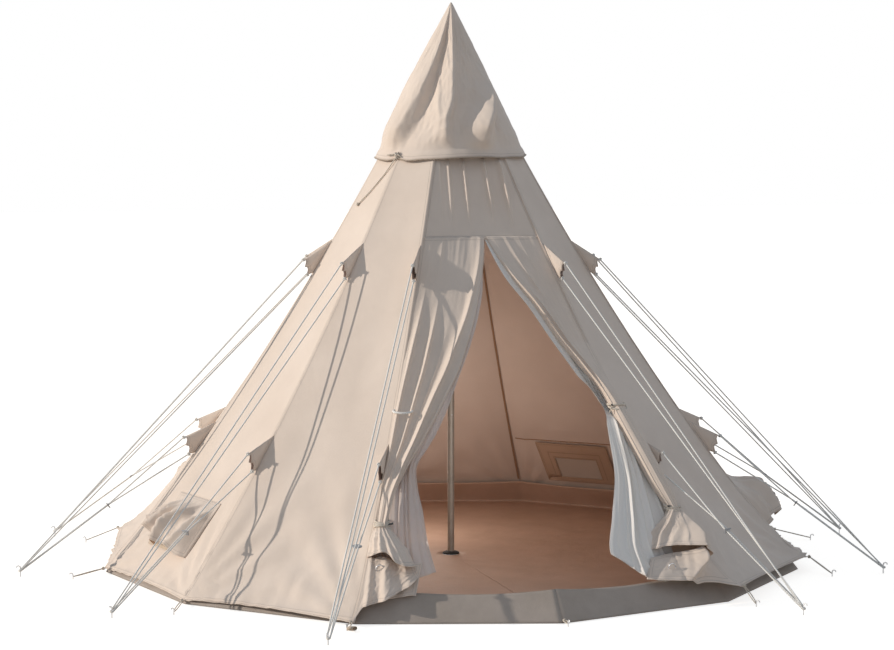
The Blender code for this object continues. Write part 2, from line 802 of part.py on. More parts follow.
def main():
    clear_scene()
    canvas = material("canvas", (0.72, 0.63, 0.54), 0.9)
    net = material("insect_net", (0.55, 0.52, 0.5), 0.85)
    sheet = material("groundsheet_cloth", (0.4, 0.33, 0.28), 0.6)
    hemp = material("guy_line", (0.85, 0.81, 0.72), 0.8)
    steel = material("peg_steel", (0.55, 0.55, 0.56), 0.35, 1.0)
    tube = material("pole_tube", (0.5, 0.49, 0.46), 0.4, 1.0)
    brass = material("snap_button", (0.6, 0.59, 0.57), 0.3, 1.0)
    rubber = material("foot_rubber", (0.03, 0.03, 0.03), 0.8)
    collar = material("crown_webbing", (0.45, 0.38, 0.32), 0.8)
    plastic = material("slider_plastic", (0.3, 0.3, 0.31), 0.5)

    walls = {wall: make_wall(wall, canvas) for wall in range(1, SIDES - 1)}
    for number, wall in enumerate(WINDOW_WALLS, 1):
        make_window(number, wall, walls[wall], net, canvas)
    make_lintel(canvas)
    make_flap("door_flap_left", 1, LEFT_FLAP_GATHER, canvas)
    make_flap("door_flap_right", -1, RIGHT_FLAP_GATHER, canvas)
    make_net_door("net_door_left", 1, LEFT_NET_GATHER, net)
    make_net_door("net_door_right", -1, RIGHT_NET_GATHER, net)
    make_groundsheet(sheet)
    make_foot(rubber)
    make_pole(tube, brass)
    make_crown(collar)
    make_cowl(canvas)
    for corner in range(1, SIDES):
        make_rope(corner, hemp)
        make_peg(corner, steel)
    for number, corner in enumerate(SLIDER_CORNERS, 1):
        make_slider(number, corner, plastic)


main()
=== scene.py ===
"""Looks of the canvas pyramid tent: its cloth, cords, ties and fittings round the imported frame.

Metres, +Z up, door towards -Y. Corners are numbered round the base from the middle of the
door sill, 0, towards -X, as in the part.
"""

import math

import bmesh
import bpy
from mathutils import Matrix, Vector, noise


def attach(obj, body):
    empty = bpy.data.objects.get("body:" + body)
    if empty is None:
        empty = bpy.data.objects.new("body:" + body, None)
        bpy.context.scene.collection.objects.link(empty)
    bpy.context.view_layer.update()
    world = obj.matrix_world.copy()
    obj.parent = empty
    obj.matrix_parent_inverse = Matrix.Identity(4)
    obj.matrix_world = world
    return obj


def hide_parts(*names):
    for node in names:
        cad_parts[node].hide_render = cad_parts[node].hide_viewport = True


# Sizes shared with the part
SIDES = 12
STEP = 2 * math.pi / SIDES
HEM_RADIUS = 2.0
CROWN_HEIGHT = 2.95
CROWN_RADIUS = 0.055
FLARE_SHARE = 0.19
FLARE_POWER = 2.5
LINTEL_HEIGHT = 1.85
WINDOW_WALLS = (2, 4, 7, 9)
WINDOW_SILL_HEIGHT = 0.2
WINDOW_HEAD_HEIGHT = 0.44
WINDOW_WIDTH = 0.46
UPPER_TAB_HEIGHT = 1.814
LOWER_TAB_HEIGHT = 0.816
TAB_LENGTH = 0.235
TAB_OUTER_DROP = 0.175
UPPER_TAB_REACH = 0.085
LOWER_TAB_REACH = 0.1
TAB_INNER_REACH = 0.022
TAB_THICKNESS = 0.003
SEAM_GAP = 0.0004
SOLID_GAP = 0.0003
GUY_PEG_RADIUS = 2.45
ROPE_DIAMETER = 0.008
ROPE_HEIGHT_AT_PEG = 0.032
ROPE_STACK = 0.004
PEG_WIRE_RADIUS = 0.004
PEG_CLEARANCE = 0.0005
SLIDER_SHARE = 0.46
SHEET_WALL_HEIGHT = 0.15
COWL_TOP_HEIGHT = 3.136
COWL_TOP_RADIUS = 0.012
COWL_HEM_HEIGHT = 2.278
COWL_EASE = 0.01
SLIDER_CORNERS = (2, 3, 10, 11)
ROPE_TURN_RADIUS = PEG_WIRE_RADIUS + PEG_CLEARANCE + ROPE_DIAMETER / 2

# Thicknesses of the cloths
CANVAS = 0.0016
TAB_CANVAS = 0.0012
FULL_CANVAS = 0.0022
BINDING = 0.001
FRAME_BINDING = 0.0014
STRAP = 0.002
NET = 0.0008
SHEETING = 0.0016

# Radii of the small cords and wires
HEM_CORD = 0.004
COWL_TIE = 0.0035
TIE_CORD = 0.0056
TIE_END = 0.0028
TOGGLE = 0.0052
LOOP_CORD = 0.006
KNOT_CORD = 0.003
SEAM_BINDING = 0.0034
RUNNER_BAR = 0.0034
PEG_WIRE = 0.0032
RING_WIRE = 0.0032

# Hem: its height, how panels overlap at the seams, and its pegs, a little to one side of each corner
HEM_HEIGHT = 0.018
SEAM_OVERLAP = 0.014
SEAM_RAISE = 0.0022
HEM_PEG_RADIUS = 2.19
HEM_PEG_LEAN = 0.14
# How far the hem is drawn outwards and upwards at the corners where it isn't pegged down flat
HEM_PULLS = {
    1: (0.075, 0.006), 4: (0.055, 0.055), 5: (0.03, 0.03), 6: (0.02, 0.02), 7: (0.03, 0.02), 8: (0.03, 0.03),
    9: (0.03, 0.03), 10: (0.055, 0.06), 11: (0.10, 0.085),
}
PULL_OUT_FADE = 0.11
PULL_UP_FADE = 0.16

# Camera
CAMERA_PLACE = (-3.674, -12.565, 2.40)
CAMERA_PITCH = 85.3
CAMERA_YAW = -16.2
FOCAL_LENGTH = 92.6
SENSOR_WIDTH = 36

# Light and floor
SUN_AZIMUTH = 100
SUN_ELEVATION = 21
SUN_STRENGTH = 2.75
SUN_SIZE = 0.7
SUN_COLOR = (1.0, 0.93, 0.84)
SKY_COLOR = (0.80, 0.93, 1.10)
SKY_STRENGTH = 0.44
FLOOR_COLOR = (0.70, 0.62, 0.53)
FLOOR_GLOW = 0.76
FLOOR_SIZE = 60
FLOOR_HEIGHT = -0.0015
# Soft lamps that stand for the light the canvas lets through: name, power and place
INSIDE_LAMPS = (("inside", 4, (-0.1, -0.6, 0.7)), ("inside_back", 10, (-0.1, 0.66, 0.48)))
INSIDE_COLOR = (1.0, 0.92, 0.84)
INSIDE_SIZE = 0.3

UP = Vector((0, 0, 1))
FRONT = Vector((0, -1, 0))

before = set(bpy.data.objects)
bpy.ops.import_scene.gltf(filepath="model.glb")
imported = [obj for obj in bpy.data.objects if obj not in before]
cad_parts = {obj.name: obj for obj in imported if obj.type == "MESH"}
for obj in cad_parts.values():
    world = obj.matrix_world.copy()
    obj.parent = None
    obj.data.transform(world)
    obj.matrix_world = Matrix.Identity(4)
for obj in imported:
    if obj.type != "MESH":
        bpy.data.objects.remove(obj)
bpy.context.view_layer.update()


# Places on the pyramid

def radial(corner):
    angle = corner * STEP
    return Vector((-math.sin(angle), -math.cos(angle), 0))


def tangent(corner):
    angle = corner * STEP
    return Vector((-math.cos(angle), math.sin(angle), 0))


def wall_normal(corner):
    return (radial(corner) * 0.83 + UP * 0.56).normalized()


def wall_radius(height):
    drop = (CROWN_HEIGHT - height) / CROWN_HEIGHT
    share = (1 - FLARE_SHARE) * drop + FLARE_SHARE * drop**FLARE_POWER
    return CROWN_RADIUS + (HEM_RADIUS - CROWN_RADIUS) * share


def seam_point(corner, height):
    return radial(corner) * wall_radius(height) + UP * height


def fade(distance, reach):
    return math.exp(-distance / reach)


def hem_pull(corner, height):
    """How far the hem's pull at a corner moves the cloth at a height."""
    out, up = HEM_PULLS.get(corner % SIDES, (0.0, 0.0))
    return radial(corner) * out * fade(height, PULL_OUT_FADE) + UP * (up * fade(height, PULL_UP_FADE))


def smooth_step(share):
    share = min(max(share, 0.0), 1.0)
    return share * share * (3 - 2 * share)


def bell(distance, width):
    return math.exp(-((distance / width) ** 2))


def crest(distance, width):
    """The section of a fold: rounder than a crease, sharper than a bell."""
    return math.exp(-((abs(distance) / width) ** 1.45))


def half_turn(angle):
    """The same angle between -180 and 180 degrees."""
    return (angle + 180) % 360 - 180


def keyed(pairs, place):
    """A smooth curve through (place, value) pairs that never overshoots them."""
    if place <= pairs[0][0]:
        return pairs[0][1]
    if place >= pairs[-1][0]:
        return pairs[-1][1]
    index = max(i for i, pair in enumerate(pairs) if pair[0] <= place)
    steps = [(b[1] - a[1]) / (b[0] - a[0]) for a, b in zip(pairs, pairs[1:])]

    def lean(i):
        if i in (0, len(steps)):
            return steps[min(i, len(steps) - 1)]
        before, after = steps[i - 1], steps[i]
        return 2 * before * after / (before + after) if before * after > 0 else 0.0

    (low, first), (high, second) = pairs[index], pairs[index + 1]
    width = high - low
    t = (place - low) / width
    rise = t * t * (3 - 2 * t)
    start, end = t * (1 - t) ** 2 * width, t * t * (t - 1) * width
    return first + (second - first) * rise + lean(index) * start + lean(index + 1) * end


def wobble(x, y=0.0, z=0.0):
    return noise.noise(Vector((x, y, z)))


def ridge(level, x, y, z):
    """Sharp-topped creases: the wobble folded at its middle."""
    return level - abs(wobble(x, y, z))


def grid_rows(steps, columns, place):
    """Rows of points: place(t, u), with t from 0 to 1 down the rows and u from 0 to 1 along each."""
    return [[place(i / steps, j / columns) for j in range(columns + 1)] for i in range(steps + 1)]


def turns(count):
    """Angles spaced evenly round a circle."""
    return [2 * math.pi * i / count for i in range(count)]


def running_lengths(points):
    lengths = [0.0]
    for first, second in zip(points, points[1:]):
        lengths.append(lengths[-1] + (second - first).length)
    return lengths


# Materials

def new_material(name):
    made = bpy.data.materials.new(name)
    made.use_nodes = True
    return made, made.node_tree, made.node_tree.nodes["Principled BSDF"]


def set_inputs(shader, values):
    for name, value in values.items():
        shader.inputs[name].default_value = value


def node(tree, kind, **settings):
    made = tree.nodes.new(kind)
    for key, value in settings.items():
        setattr(made, key, value)
    return made


def feed(tree, socket, value):
    """Link a socket to another one, or give it a colour or a number."""
    if isinstance(value, bpy.types.NodeSocket):
        tree.links.new(value, socket)
    elif isinstance(value, tuple):
        socket.default_value = (*value, 1)
    elif value is not None:
        socket.default_value = value


def math_node(tree, operation, first, second=None):
    made = node(tree, "ShaderNodeMath", operation=operation)
    feed(tree, made.inputs[0], first)
    feed(tree, made.inputs[1], second)
    return made.outputs[0]


def times(tree, first, second):
    return math_node(tree, "MULTIPLY", first, second)


def wave(tree, value, density):
    """A sine along a value, with this many radians to each unit."""
    return math_node(tree, "SINE", times(tree, value, density))


def wave_share(tree, height):
    """A wave's height as a share from 0 to 1."""
    return times(tree, math_node(tree, "ADD", height, 1.0), 0.5)


def split_axes(tree, vector):
    split = node(tree, "ShaderNodeSeparateXYZ")
    tree.links.new(vector, split.inputs[0])
    return split.outputs


def uv_axes(tree, layer):
    uv = node(tree, "ShaderNodeUVMap", uv_map=layer)
    axes = split_axes(tree, uv.outputs[0])
    return uv.outputs[0], axes[0], axes[1]


def noise_texture(tree, vector, scale, detail=3.0, roughness=0.55):
    made = node(tree, "ShaderNodeTexNoise")
    set_inputs(made, {"Scale": scale, "Detail": detail, "Roughness": roughness})
    tree.links.new(vector, made.inputs["Vector"])
    return made.outputs["Fac"]


def ramp(tree, value, deep, pale, low=0.35, high=0.65):
    """The deep colour up to the low value and the pale one from the high value."""
    made = node(tree, "ShaderNodeValToRGB")
    tree.links.new(value, made.inputs[0])
    for element, place, color in zip(made.color_ramp.elements, (low, high), (deep, pale)):
        element.position = place
        element.color = (*color, 1)
    return made.outputs[0]


def mixed(tree, share, first, second):
    made = node(tree, "ShaderNodeMix", data_type="RGBA", blend_type="MIX")
    for socket, value in ((made.inputs[0], share), (made.inputs[6], first), (made.inputs[7], second)):
        feed(tree, socket, value)
    return made.outputs[2]


def bump(tree, shader, height, distance, strength=1.0, below=None):
    made = node(tree, "ShaderNodeBump")
    set_inputs(made, {"Strength": strength, "Distance": distance})
    tree.links.new(height, made.inputs["Height"])
    if below is not None:
        tree.links.new(below, made.inputs["Normal"])
    if shader is not None:
        tree.links.new(made.outputs[0], shader.inputs["Normal"])
    return made.outputs[0]


def uneven_roughness(tree, shader, value, low, high):
    spread = node(tree, "ShaderNodeMapRange")
    tree.links.new(value, spread.inputs[0])
    spread.inputs[3].default_value = low
    spread.inputs[4].default_value = high
    tree.links.new(spread.outputs[0], shader.inputs["Roughness"])


def object_place(tree):
    return node(tree, "ShaderNodeTexCoord").outputs["Object"]


# Threads in radians to the metre, and where the stitching runs, in metres from the edge of the cloth
CANVAS_THREADS = 4200.0
SHEETING_THREADS = 2500.0
NET_THREADS = 1900.0
STITCH_ROWS = (0.007, 0.021)
STITCH_HALF_WIDTH = 0.0012
TURNED_EDGE = 0.026


def stitching(tree, color, height, deep):
    """Double rows of stitches along the edges, and the thicker turned cloth under them, both painted darker:
    painted shade in the stitch dents and along the turned edges.
    """
    _, side, end = uv_axes(tree, "edge")
    nearest = math_node(tree, "MINIMUM", side, end)
    rows = None
    for distance in STITCH_ROWS:
        away = math_node(tree, "ABSOLUTE", math_node(tree, "SUBTRACT", nearest, distance))
        row = math_node(tree, "LESS_THAN", away, STITCH_HALF_WIDTH)
        rows = row if rows is None else math_node(tree, "MAXIMUM", rows, row)
    # Painted shade: the stitch rows are darkened here and the turned cloth just below.
    color = mixed(tree, times(tree, rows, 0.45), color, tuple(c * 0.5 for c in deep))
    turned = math_node(tree, "LESS_THAN", nearest, TURNED_EDGE)
    color = mixed(tree, times(tree, turned, 0.12), color, deep)
    height = math_node(tree, "SUBTRACT", height, times(tree, rows, 2.0))
    return color, math_node(tree, "ADD", height, times(tree, turned, 3.0))


def canvas_material(name, pale, deep, stitched=True, sheen=0.15):
    """Woven cotton: threads and slubs along the cloth, soft blotches, and stitching inside its edges."""
    made, tree, shader = new_material(name)
    place = object_place(tree)
    cloth, across, along = uv_axes(tree, "cloth")
    blotch = noise_texture(tree, place, 2.2, 4, 0.6)
    fleck = noise_texture(tree, cloth, 260, 2, 0.5)
    color = ramp(tree, blotch, deep, pale, 0.3, 0.7)
    color = mixed(tree, times(tree, fleck, 0.14), color, deep)
    weave = times(tree, wave(tree, across, CANVAS_THREADS), wave(tree, along, CANVAS_THREADS))
    slub = noise_texture(tree, cloth, 90, 3, 0.6)
    height = math_node(tree, "ADD", times(tree, weave, 0.3), slub)
    if stitched:
        color, height = stitching(tree, color, height, deep)
    tree.links.new(color, shader.inputs["Base Color"])
    crumple = bump(tree, None, noise_texture(tree, place, 14, 4, 0.6), 0.004, 0.35)
    bump(tree, shader, height, 0.0004, 0.7, crumple)
    set_inputs(shader, {
        "Roughness": 0.88, "Sheen Weight": sheen, "Sheen Roughness": 0.5, "Specular IOR Level": 0.25,
    })
    return made


def coated_material(name, pale, deep):
    """Coated sheeting: a faint grid of reinforcing threads, scuffs and soft creases."""
    made, tree, shader = new_material(name)
    place = object_place(tree)
    _, across, along = uv_axes(tree, "cloth")
    scuff = noise_texture(tree, place, 3.0, 6, 0.65)
    tree.links.new(ramp(tree, scuff, deep, pale, 0.32, 0.68), shader.inputs["Base Color"])
    uneven_roughness(tree, shader, noise_texture(tree, place, 9, 4), 0.43, 0.67)
    warp, weft = wave(tree, across, SHEETING_THREADS), wave(tree, along, SHEETING_THREADS)
    creases = bump(tree, None, noise_texture(tree, place, 7, 5, 0.6), 0.012, 0.45)
    bump(tree, shader, math_node(tree, "MAXIMUM", warp, weft), 0.0003, 0.5, creases)
    set_inputs(shader, {"Specular IOR Level": 0.35})
    return made


def net_material(name, pale, deep, alpha):
    """Fine mesh: a close grid of threads with light showing through."""
    made, tree, shader = new_material(name)
    _, across, along = uv_axes(tree, "cloth")
    thread = math_node(tree, "MAXIMUM", wave(tree, across, NET_THREADS), wave(tree, along, NET_THREADS))
    tree.links.new(mixed(tree, wave_share(tree, thread), deep, pale), shader.inputs["Base Color"])
    bump(tree, shader, thread, 0.0003, 0.5)
    set_inputs(shader, {"Roughness": 0.8, "Alpha": alpha, "Sheen Weight": 0.2})
    return made


def rope_material(name, pale, deep, pitch=0.012):
    """Twisted cord: strands laid round it, worked out from the place along each axis."""
    made, tree, shader = new_material(name)
    place = object_place(tree)
    axes = split_axes(tree, place)
    total = math_node(tree, "ADD", math_node(tree, "ADD", axes[0], axes[1]), axes[2])
    strand = wave(tree, total, 2 * math.pi / pitch)
    fuzz = times(tree, noise_texture(tree, place, 300, 2), 0.2)
    # The colour runs darker into the grooves between the strands: painted shade.
    color = mixed(tree, wave_share(tree, strand), deep, pale)
    tree.links.new(mixed(tree, fuzz, color, deep), shader.inputs["Base Color"])
    bump(tree, shader, strand, 0.0008, 0.8)
    set_inputs(shader, {"Roughness": 0.75})
    return made


def metal_material(name, pale, deep, roughness, metallic=1.0):
    """Worn metal: drawn streaks, dull patches and small scratches."""
    made, tree, shader = new_material(name)
    place = object_place(tree)
    stretch = node(tree, "ShaderNodeMapping")
    set_inputs(stretch, {"Scale": (1, 1, 0.05)})
    tree.links.new(place, stretch.inputs[0])
    streak = noise_texture(tree, stretch.outputs[0], 240, 3)
    patch = noise_texture(tree, place, 15, 4, 0.65)
    tree.links.new(ramp(tree, patch, deep, pale), shader.inputs["Base Color"])
    uneven_roughness(tree, shader, patch, roughness - 0.1, roughness + 0.15)
    bump(tree, shader, streak, 0.0002, 0.4)
    set_inputs(shader, {"Metallic": metallic})
    return made


def plastic_material(name, pale, deep, roughness):
    made, tree, shader = new_material(name)
    place = object_place(tree)
    patch = noise_texture(tree, place, 30, 4)
    tree.links.new(ramp(tree, patch, deep, pale), shader.inputs["Base Color"])
    bump(tree, shader, noise_texture(tree, place, 500, 2), 0.0002, 0.5)
    set_inputs(shader, {"Roughness": roughness})
    return made


def lining_material(name, pale, deep):
    """Canvas seen from inside, unstitched and with little sheen."""
    return canvas_material(name, pale, deep, stitched=False, sheen=0.05)


canvas = canvas_material("canvas", (0.78, 0.655, 0.555), (0.70, 0.58, 0.485))
webbing = canvas_material("webbing", (0.62, 0.50, 0.38), (0.50, 0.39, 0.29), stitched=False)
frame_cloth = canvas_material("window_frame", (0.58, 0.41, 0.30), (0.47, 0.32, 0.225), sheen=0.05)
# The inside of the walls, lintel, cowl and flaps is painted a little darker and warmer than the outside
# canvas: painted shade and warm light inside the tent.
shaded_lining = lining_material("canvas_inside_shaded", (0.73, 0.61, 0.535), (0.67, 0.55, 0.475))
# The inside of the curtain ends and of the window hoods is painted brown: painted shade under the cloth.
shaded_bell_lining = lining_material("flap_inside_shaded", (0.66, 0.47, 0.34), (0.54, 0.38, 0.27))
# The inside of the guy tabs is painted dark: painted shade inside the folded tabs.
shaded_tab_lining = lining_material("tab_inside_shaded", (0.50, 0.39, 0.34), (0.40, 0.30, 0.26))
seam_cloth = lining_material("seam_binding", (0.42, 0.26, 0.17), (0.34, 0.21, 0.135))
sheet_inside = coated_material("groundsheet_inside", (0.62, 0.42, 0.32), (0.53, 0.355, 0.26))
sheet_outside = coated_material("groundsheet_outside", (0.43, 0.36, 0.31), (0.34, 0.285, 0.24))
# Lit and shaded copies of the door net: the right one is painted brighter, as painted light on it, and the
# left one darker, as painted shade.
lit_door_net = net_material("lit_door_net", (0.95, 0.90, 0.84), (0.84, 0.79, 0.73), 0.85)
shaded_net = net_material("shaded_door_net", (0.84, 0.73, 0.66), (0.72, 0.62, 0.56), 0.66)
window_net = net_material("window_net", (0.66, 0.55, 0.47), (0.46, 0.38, 0.32), 0.94)
cord_white = rope_material("guy_line", (0.92, 0.90, 0.86), (0.72, 0.69, 0.64))
cord_cream = rope_material("tie_cord", (0.80, 0.72, 0.62), (0.55, 0.47, 0.38), 0.008)
# The hem cord is brown, partly its own colour and partly painted shade under the cowl's hem.
cord_brown_and_shade = rope_material("hem_cord_brown_and_shade", (0.50, 0.40, 0.32), (0.32, 0.25, 0.19), 0.008)
steel = metal_material("peg_steel", (0.62, 0.62, 0.63), (0.42, 0.42, 0.43), 0.35)
tube = metal_material("pole_tube", (0.50, 0.47, 0.42), (0.40, 0.375, 0.335), 0.55, metallic=0.45)
toggle_black = plastic_material("toggle_plastic", (0.05, 0.05, 0.05), (0.03, 0.03, 0.03), 0.5)
rubber = plastic_material("foot_rubber", (0.035, 0.035, 0.035), (0.02, 0.02, 0.02), 0.75)
runner = plastic_material("slider_plastic", (0.36, 0.36, 0.37), (0.26, 0.26, 0.27), 0.45)


# Mesh helpers

def add_object(name, data):
    made = bpy.data.objects.new(name, data)
    bpy.context.scene.collection.objects.link(made)
    return made


def fit(piece, body="tent"):
    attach(piece, body)


def grid_object(name, rows, coats, facing, thickness=CANVAS, holes=()):
    """A sheet through rows of points, its first coat towards facing, a direction or a function of a place.

    Its UV layers hold metres along the cloth and metres in from its edges.
    """
    builder = bmesh.new()
    verts = [[builder.verts.new(point) for point in row] for row in rows]
    count, columns = len(rows), len(rows[0])
    across = [running_lengths(row) for row in rows]
    down = running_lengths([row[columns // 2] for row in rows])
    cloth = builder.loops.layers.uv.new("cloth")
    edge = builder.loops.layers.uv.new("edge")
    place = {}
    for i in range(count):
        for j in range(columns):
            x, width = across[i][j], across[i][-1]
            inward = (min(x, width - x), min(down[i], down[-1] - down[i]))
            place[verts[i][j]] = ((x - width / 2, down[i]), inward)
    for i in range(count - 1):
        for j in range(columns - 1):
            if (i, j) in holes:
                continue
            face = builder.faces.new((verts[i][j], verts[i][j + 1], verts[i + 1][j + 1], verts[i + 1][j]))
            face.smooth = True
            for loop in face.loops:
                loop[cloth].uv, loop[edge].uv = place[loop.vert]
    loose = [vert for vert in builder.verts if not vert.link_faces]
    bmesh.ops.delete(builder, geom=loose, context="VERTS")
    builder.normal_update()
    total = 0.0
    for face in builder.faces:
        towards = facing(face.calc_center_median()) if callable(facing) else facing
        total += face.normal.dot(towards) * face.calc_area()
    if total < 0:
        bmesh.ops.reverse_faces(builder, faces=builder.faces)
    mesh = bpy.data.meshes.new(name)
    builder.to_mesh(mesh)
    builder.free()
    for coat in coats:
        mesh.materials.append(coat)
    made = add_object(name, mesh)
    step = made.modifiers.new("cloth", "SOLIDIFY")
    step.thickness = thickness
    step.offset = 0
    step.material_offset = 1
    step.material_offset_rim = 0
    return made


def away_from_pole(point):
    return Vector((point.x, point.y, 0.3)).normalized()


def tube_object(name, routes, radius, coat, closed=False, resolution=3):
    curve = bpy.data.curves.new(name, "CURVE")
    curve.dimensions = "3D"
    curve.bevel_depth = radius
    curve.bevel_resolution = resolution
    curve.use_fill_caps = not closed
    for route in routes:
        spline = curve.splines.new("POLY")
        spline.points.add(len(route) - 1)
        for point, place in zip(spline.points, route):
            point.co = (*place, 1)
        spline.use_cyclic_u = closed
        spline.use_smooth = True
    curve.materials.append(coat)
    return add_object(name, curve)


def tubes_piece(name, routes, radius, coat, closed=False):
    """Several small tubes as one mesh piece."""
    made = tube_object(name + "_curve", routes, radius, coat, closed, 2)
    bpy.context.view_layer.update()
    graph = bpy.context.evaluated_depsgraph_get()
    mesh = bpy.data.meshes.new_from_object(made.evaluated_get(graph))
    mesh.materials.clear()
    mesh.materials.append(coat)
    bpy.data.objects.remove(made, do_unlink=True)
    fit(add_object(name, mesh))


def ring_route(centre, first, second, radius, squash=1.0):
    return [
        centre + first * radius * math.cos(angle) + second * radius * squash * math.sin(angle)
        for angle in turns(28)
    ]


def knot_route(place, axis, size):
    """A small overhand knot round a cord."""
    side = axis.orthogonal().normalized()
    other = axis.cross(side)
    route = []
    for angle in turns(24):
        ring = side * math.cos(2 * angle) + other * math.sin(2 * angle)
        wide = 1 + 0.35 * math.cos(3 * angle)
        route.append(place + ring * size * wide + axis * size * 0.8 * math.sin(3 * angle))
    return route


def declare_cord(route):
    tuple(route[0])
    running_lengths(route)[-1]


def flat_area(rows):
    total = 0.0
    for first, second in zip(rows, rows[1:]):
        for a, b, c, d in zip(first, first[1:], second[1:], second):
            total += ((b - a).cross(c - a)).length / 2 + ((c - a).cross(d - a)).length / 2
    return total


def declare_cloth(piece, rows, body="tent"):
    """Parents a cloth piece to its body and works out the size of the rectangle it was cut from and its own
    flat area, which are not used.
    """
    fit(piece, body)
    width = max(running_lengths(row)[-1] for row in rows)
    length = max(running_lengths([row[j] for row in rows])[-1] for j in (0, len(rows[0]) // 2, -1))
    area = min(max(flat_area(rows), 0.31 * width * length), width * length)


# Wall panels

# Columns of a panel between which a window lies; the same number lies beyond it as before it
WINDOW_COLUMNS = (9, 27)
HEM_ROWS = 9
WINDOW_ROWS = 12
UPPER_ROWS = 80
WALL_TOP = CROWN_HEIGHT - 0.01
# Ripples along the hem: height, how far up they fade, spacing, and shift from wall to wall
HEM_RIPPLES = ((0.0055, 0.10, 0.105, 1.7), (0.0018, 0.5, 0.31, 2.9))
# How far the hem rises between two corners, and the sizes of the cloth's other folds and of their fading
HEM_RISE = 0.018
HEM_RISE_FADE = 0.03
RIDGE_HEIGHT = 0.018
RIDGE_FADE = 0.15
CORNER_PULL = 0.026
CORNER_PULL_FADE = 0.28
WALL_SLACK = 0.010
LONG_FOLD = 0.0045
SEAM_PUCKER = 0.0018


def wall_levels():
    levels = []
    for low, high, count in (
        (HEM_HEIGHT, WINDOW_SILL_HEIGHT, HEM_ROWS), (WINDOW_SILL_HEIGHT, WINDOW_HEAD_HEIGHT, WINDOW_ROWS),
        (WINDOW_HEAD_HEIGHT, WALL_TOP, UPPER_ROWS),
    ):
        levels += [low + (high - low) * i / count for i in range(count)]
    return levels + [WALL_TOP]


def flat_by_window(x, height):
    """1 on and round a window, where the cloth is held flat, and 0 away from it."""
    beside = smooth_step((WINDOW_WIDTH / 2 + 0.10 - abs(x)) / 0.06)
    below = smooth_step((height - WINDOW_SILL_HEIGHT + 0.09) / 0.05)
    above = smooth_step((WINDOW_HEAD_HEIGHT + 0.11 - height) / 0.06)
    return beside * below * above


def wall_wrinkle(wall, x, half, height):
    """How far cloth stands out of the flat panel: slack between seams, folds at the hem, pulls at corners."""
    share = x / half
    taut = smooth_step((2.3 - height) / 0.5)
    slack = -WALL_SLACK * (1 - share**2) * taut * min(1.0, height * 2 + 0.3)
    phase = 2.5 * wobble(x * 4, height * 1.5, wall * 2.7)
    folds = 0.0
    for tall, reach, spacing, shift in HEM_RIPPLES:
        folds += tall * fade(height, reach) * math.cos(2 * math.pi * x / spacing + wall * shift + phase)
    ridged = 0.5 - abs(wobble(x * 11 + height * 4, height * 6, wall * 3.1)) * 2.2
    folds += RIDGE_HEIGHT * fade(height, RIDGE_FADE) * ridged
    for sign in (-1, 1):
        dx = half - sign * x
        reach = math.hypot(dx, height * 0.9) + 0.02
        angle = math.atan2(height * 0.9, dx)
        folds += CORNER_PULL * fade(reach, CORNER_PULL_FADE) * math.cos(15 * angle + wall * 2.3 + sign)
    long_fold = LONG_FOLD * taut * wobble(x * 6.5 + wall * 7, height * 0.7, 3.3) * (1 - share**4)
    pucker = SEAM_PUCKER * taut * fade(half - abs(x), 0.05) * wobble(height * 16, wall * 5.1, x * 0.5)
    total = slack + folds * (1 - share**6) + long_fold + pucker
    if wall in WINDOW_WALLS:
        total *= 1 - 0.92 * flat_by_window(x, height)
    deepest = -0.0025 - 0.03 * smooth_step((height - 0.17) / 0.12)
    return max(total + 0.004 * fade(height, 0.22), deepest)


def wall_point(wall, x, half, height):
    centre = (seam_point(wall, height) + seam_point(wall + 1, height)) / 2
    lift = HEM_RISE * (1 - (x / half) ** 2) * fade(height - HEM_HEIGHT, HEM_RISE_FADE)
    place = centre + tangent(wall + 0.5) * x + UP * lift
    place += wall_normal(wall + 0.5) * wall_wrinkle(wall, x, half, height)
    for corner, share in ((wall, 0.5 - 0.5 * x / half), (wall + 1, 0.5 + 0.5 * x / half)):
        place += hem_pull(corner, height) * smooth_step(share) ** 1.5
    return place


def wall_point_at(corner, height, lift=0.007):
    """A point on the outside of the walls at any place round them; whole numbers are the seams."""
    wall = math.floor(corner)
    width = (seam_point(wall + 1, height) - seam_point(wall, height)).length
    x = (corner - wall - 0.5) * width
    return wall_point(wall, x, width / 2, height) + wall_normal(wall + 0.5) * lift


def overlap_points(wall, height, start):
    """The turned edge that lies over the neighbouring panel at a seam."""
    corner = wall if start else wall + 1
    sign = -1 if start else 1
    beyond = tangent(corner + 0.5 * sign) * sign
    edge = seam_point(corner, height) + wall_normal(corner) * SEAM_RAISE + hem_pull(corner, height)
    return [edge + beyond * SEAM_OVERLAP * share for share in (0.35, 1.0)]


def wall_columns(half, inner):
    """Places across a panel; the window's sides always fall on the same two columns."""
    left, right = WINDOW_COLUMNS
    outer = [-half + (half - inner) * i / left for i in range(left)]
    window = [-inner + 2 * inner * i / (right - left) for i in range(right - left + 1)]
    return outer + window + [-x for x in reversed(outer)]


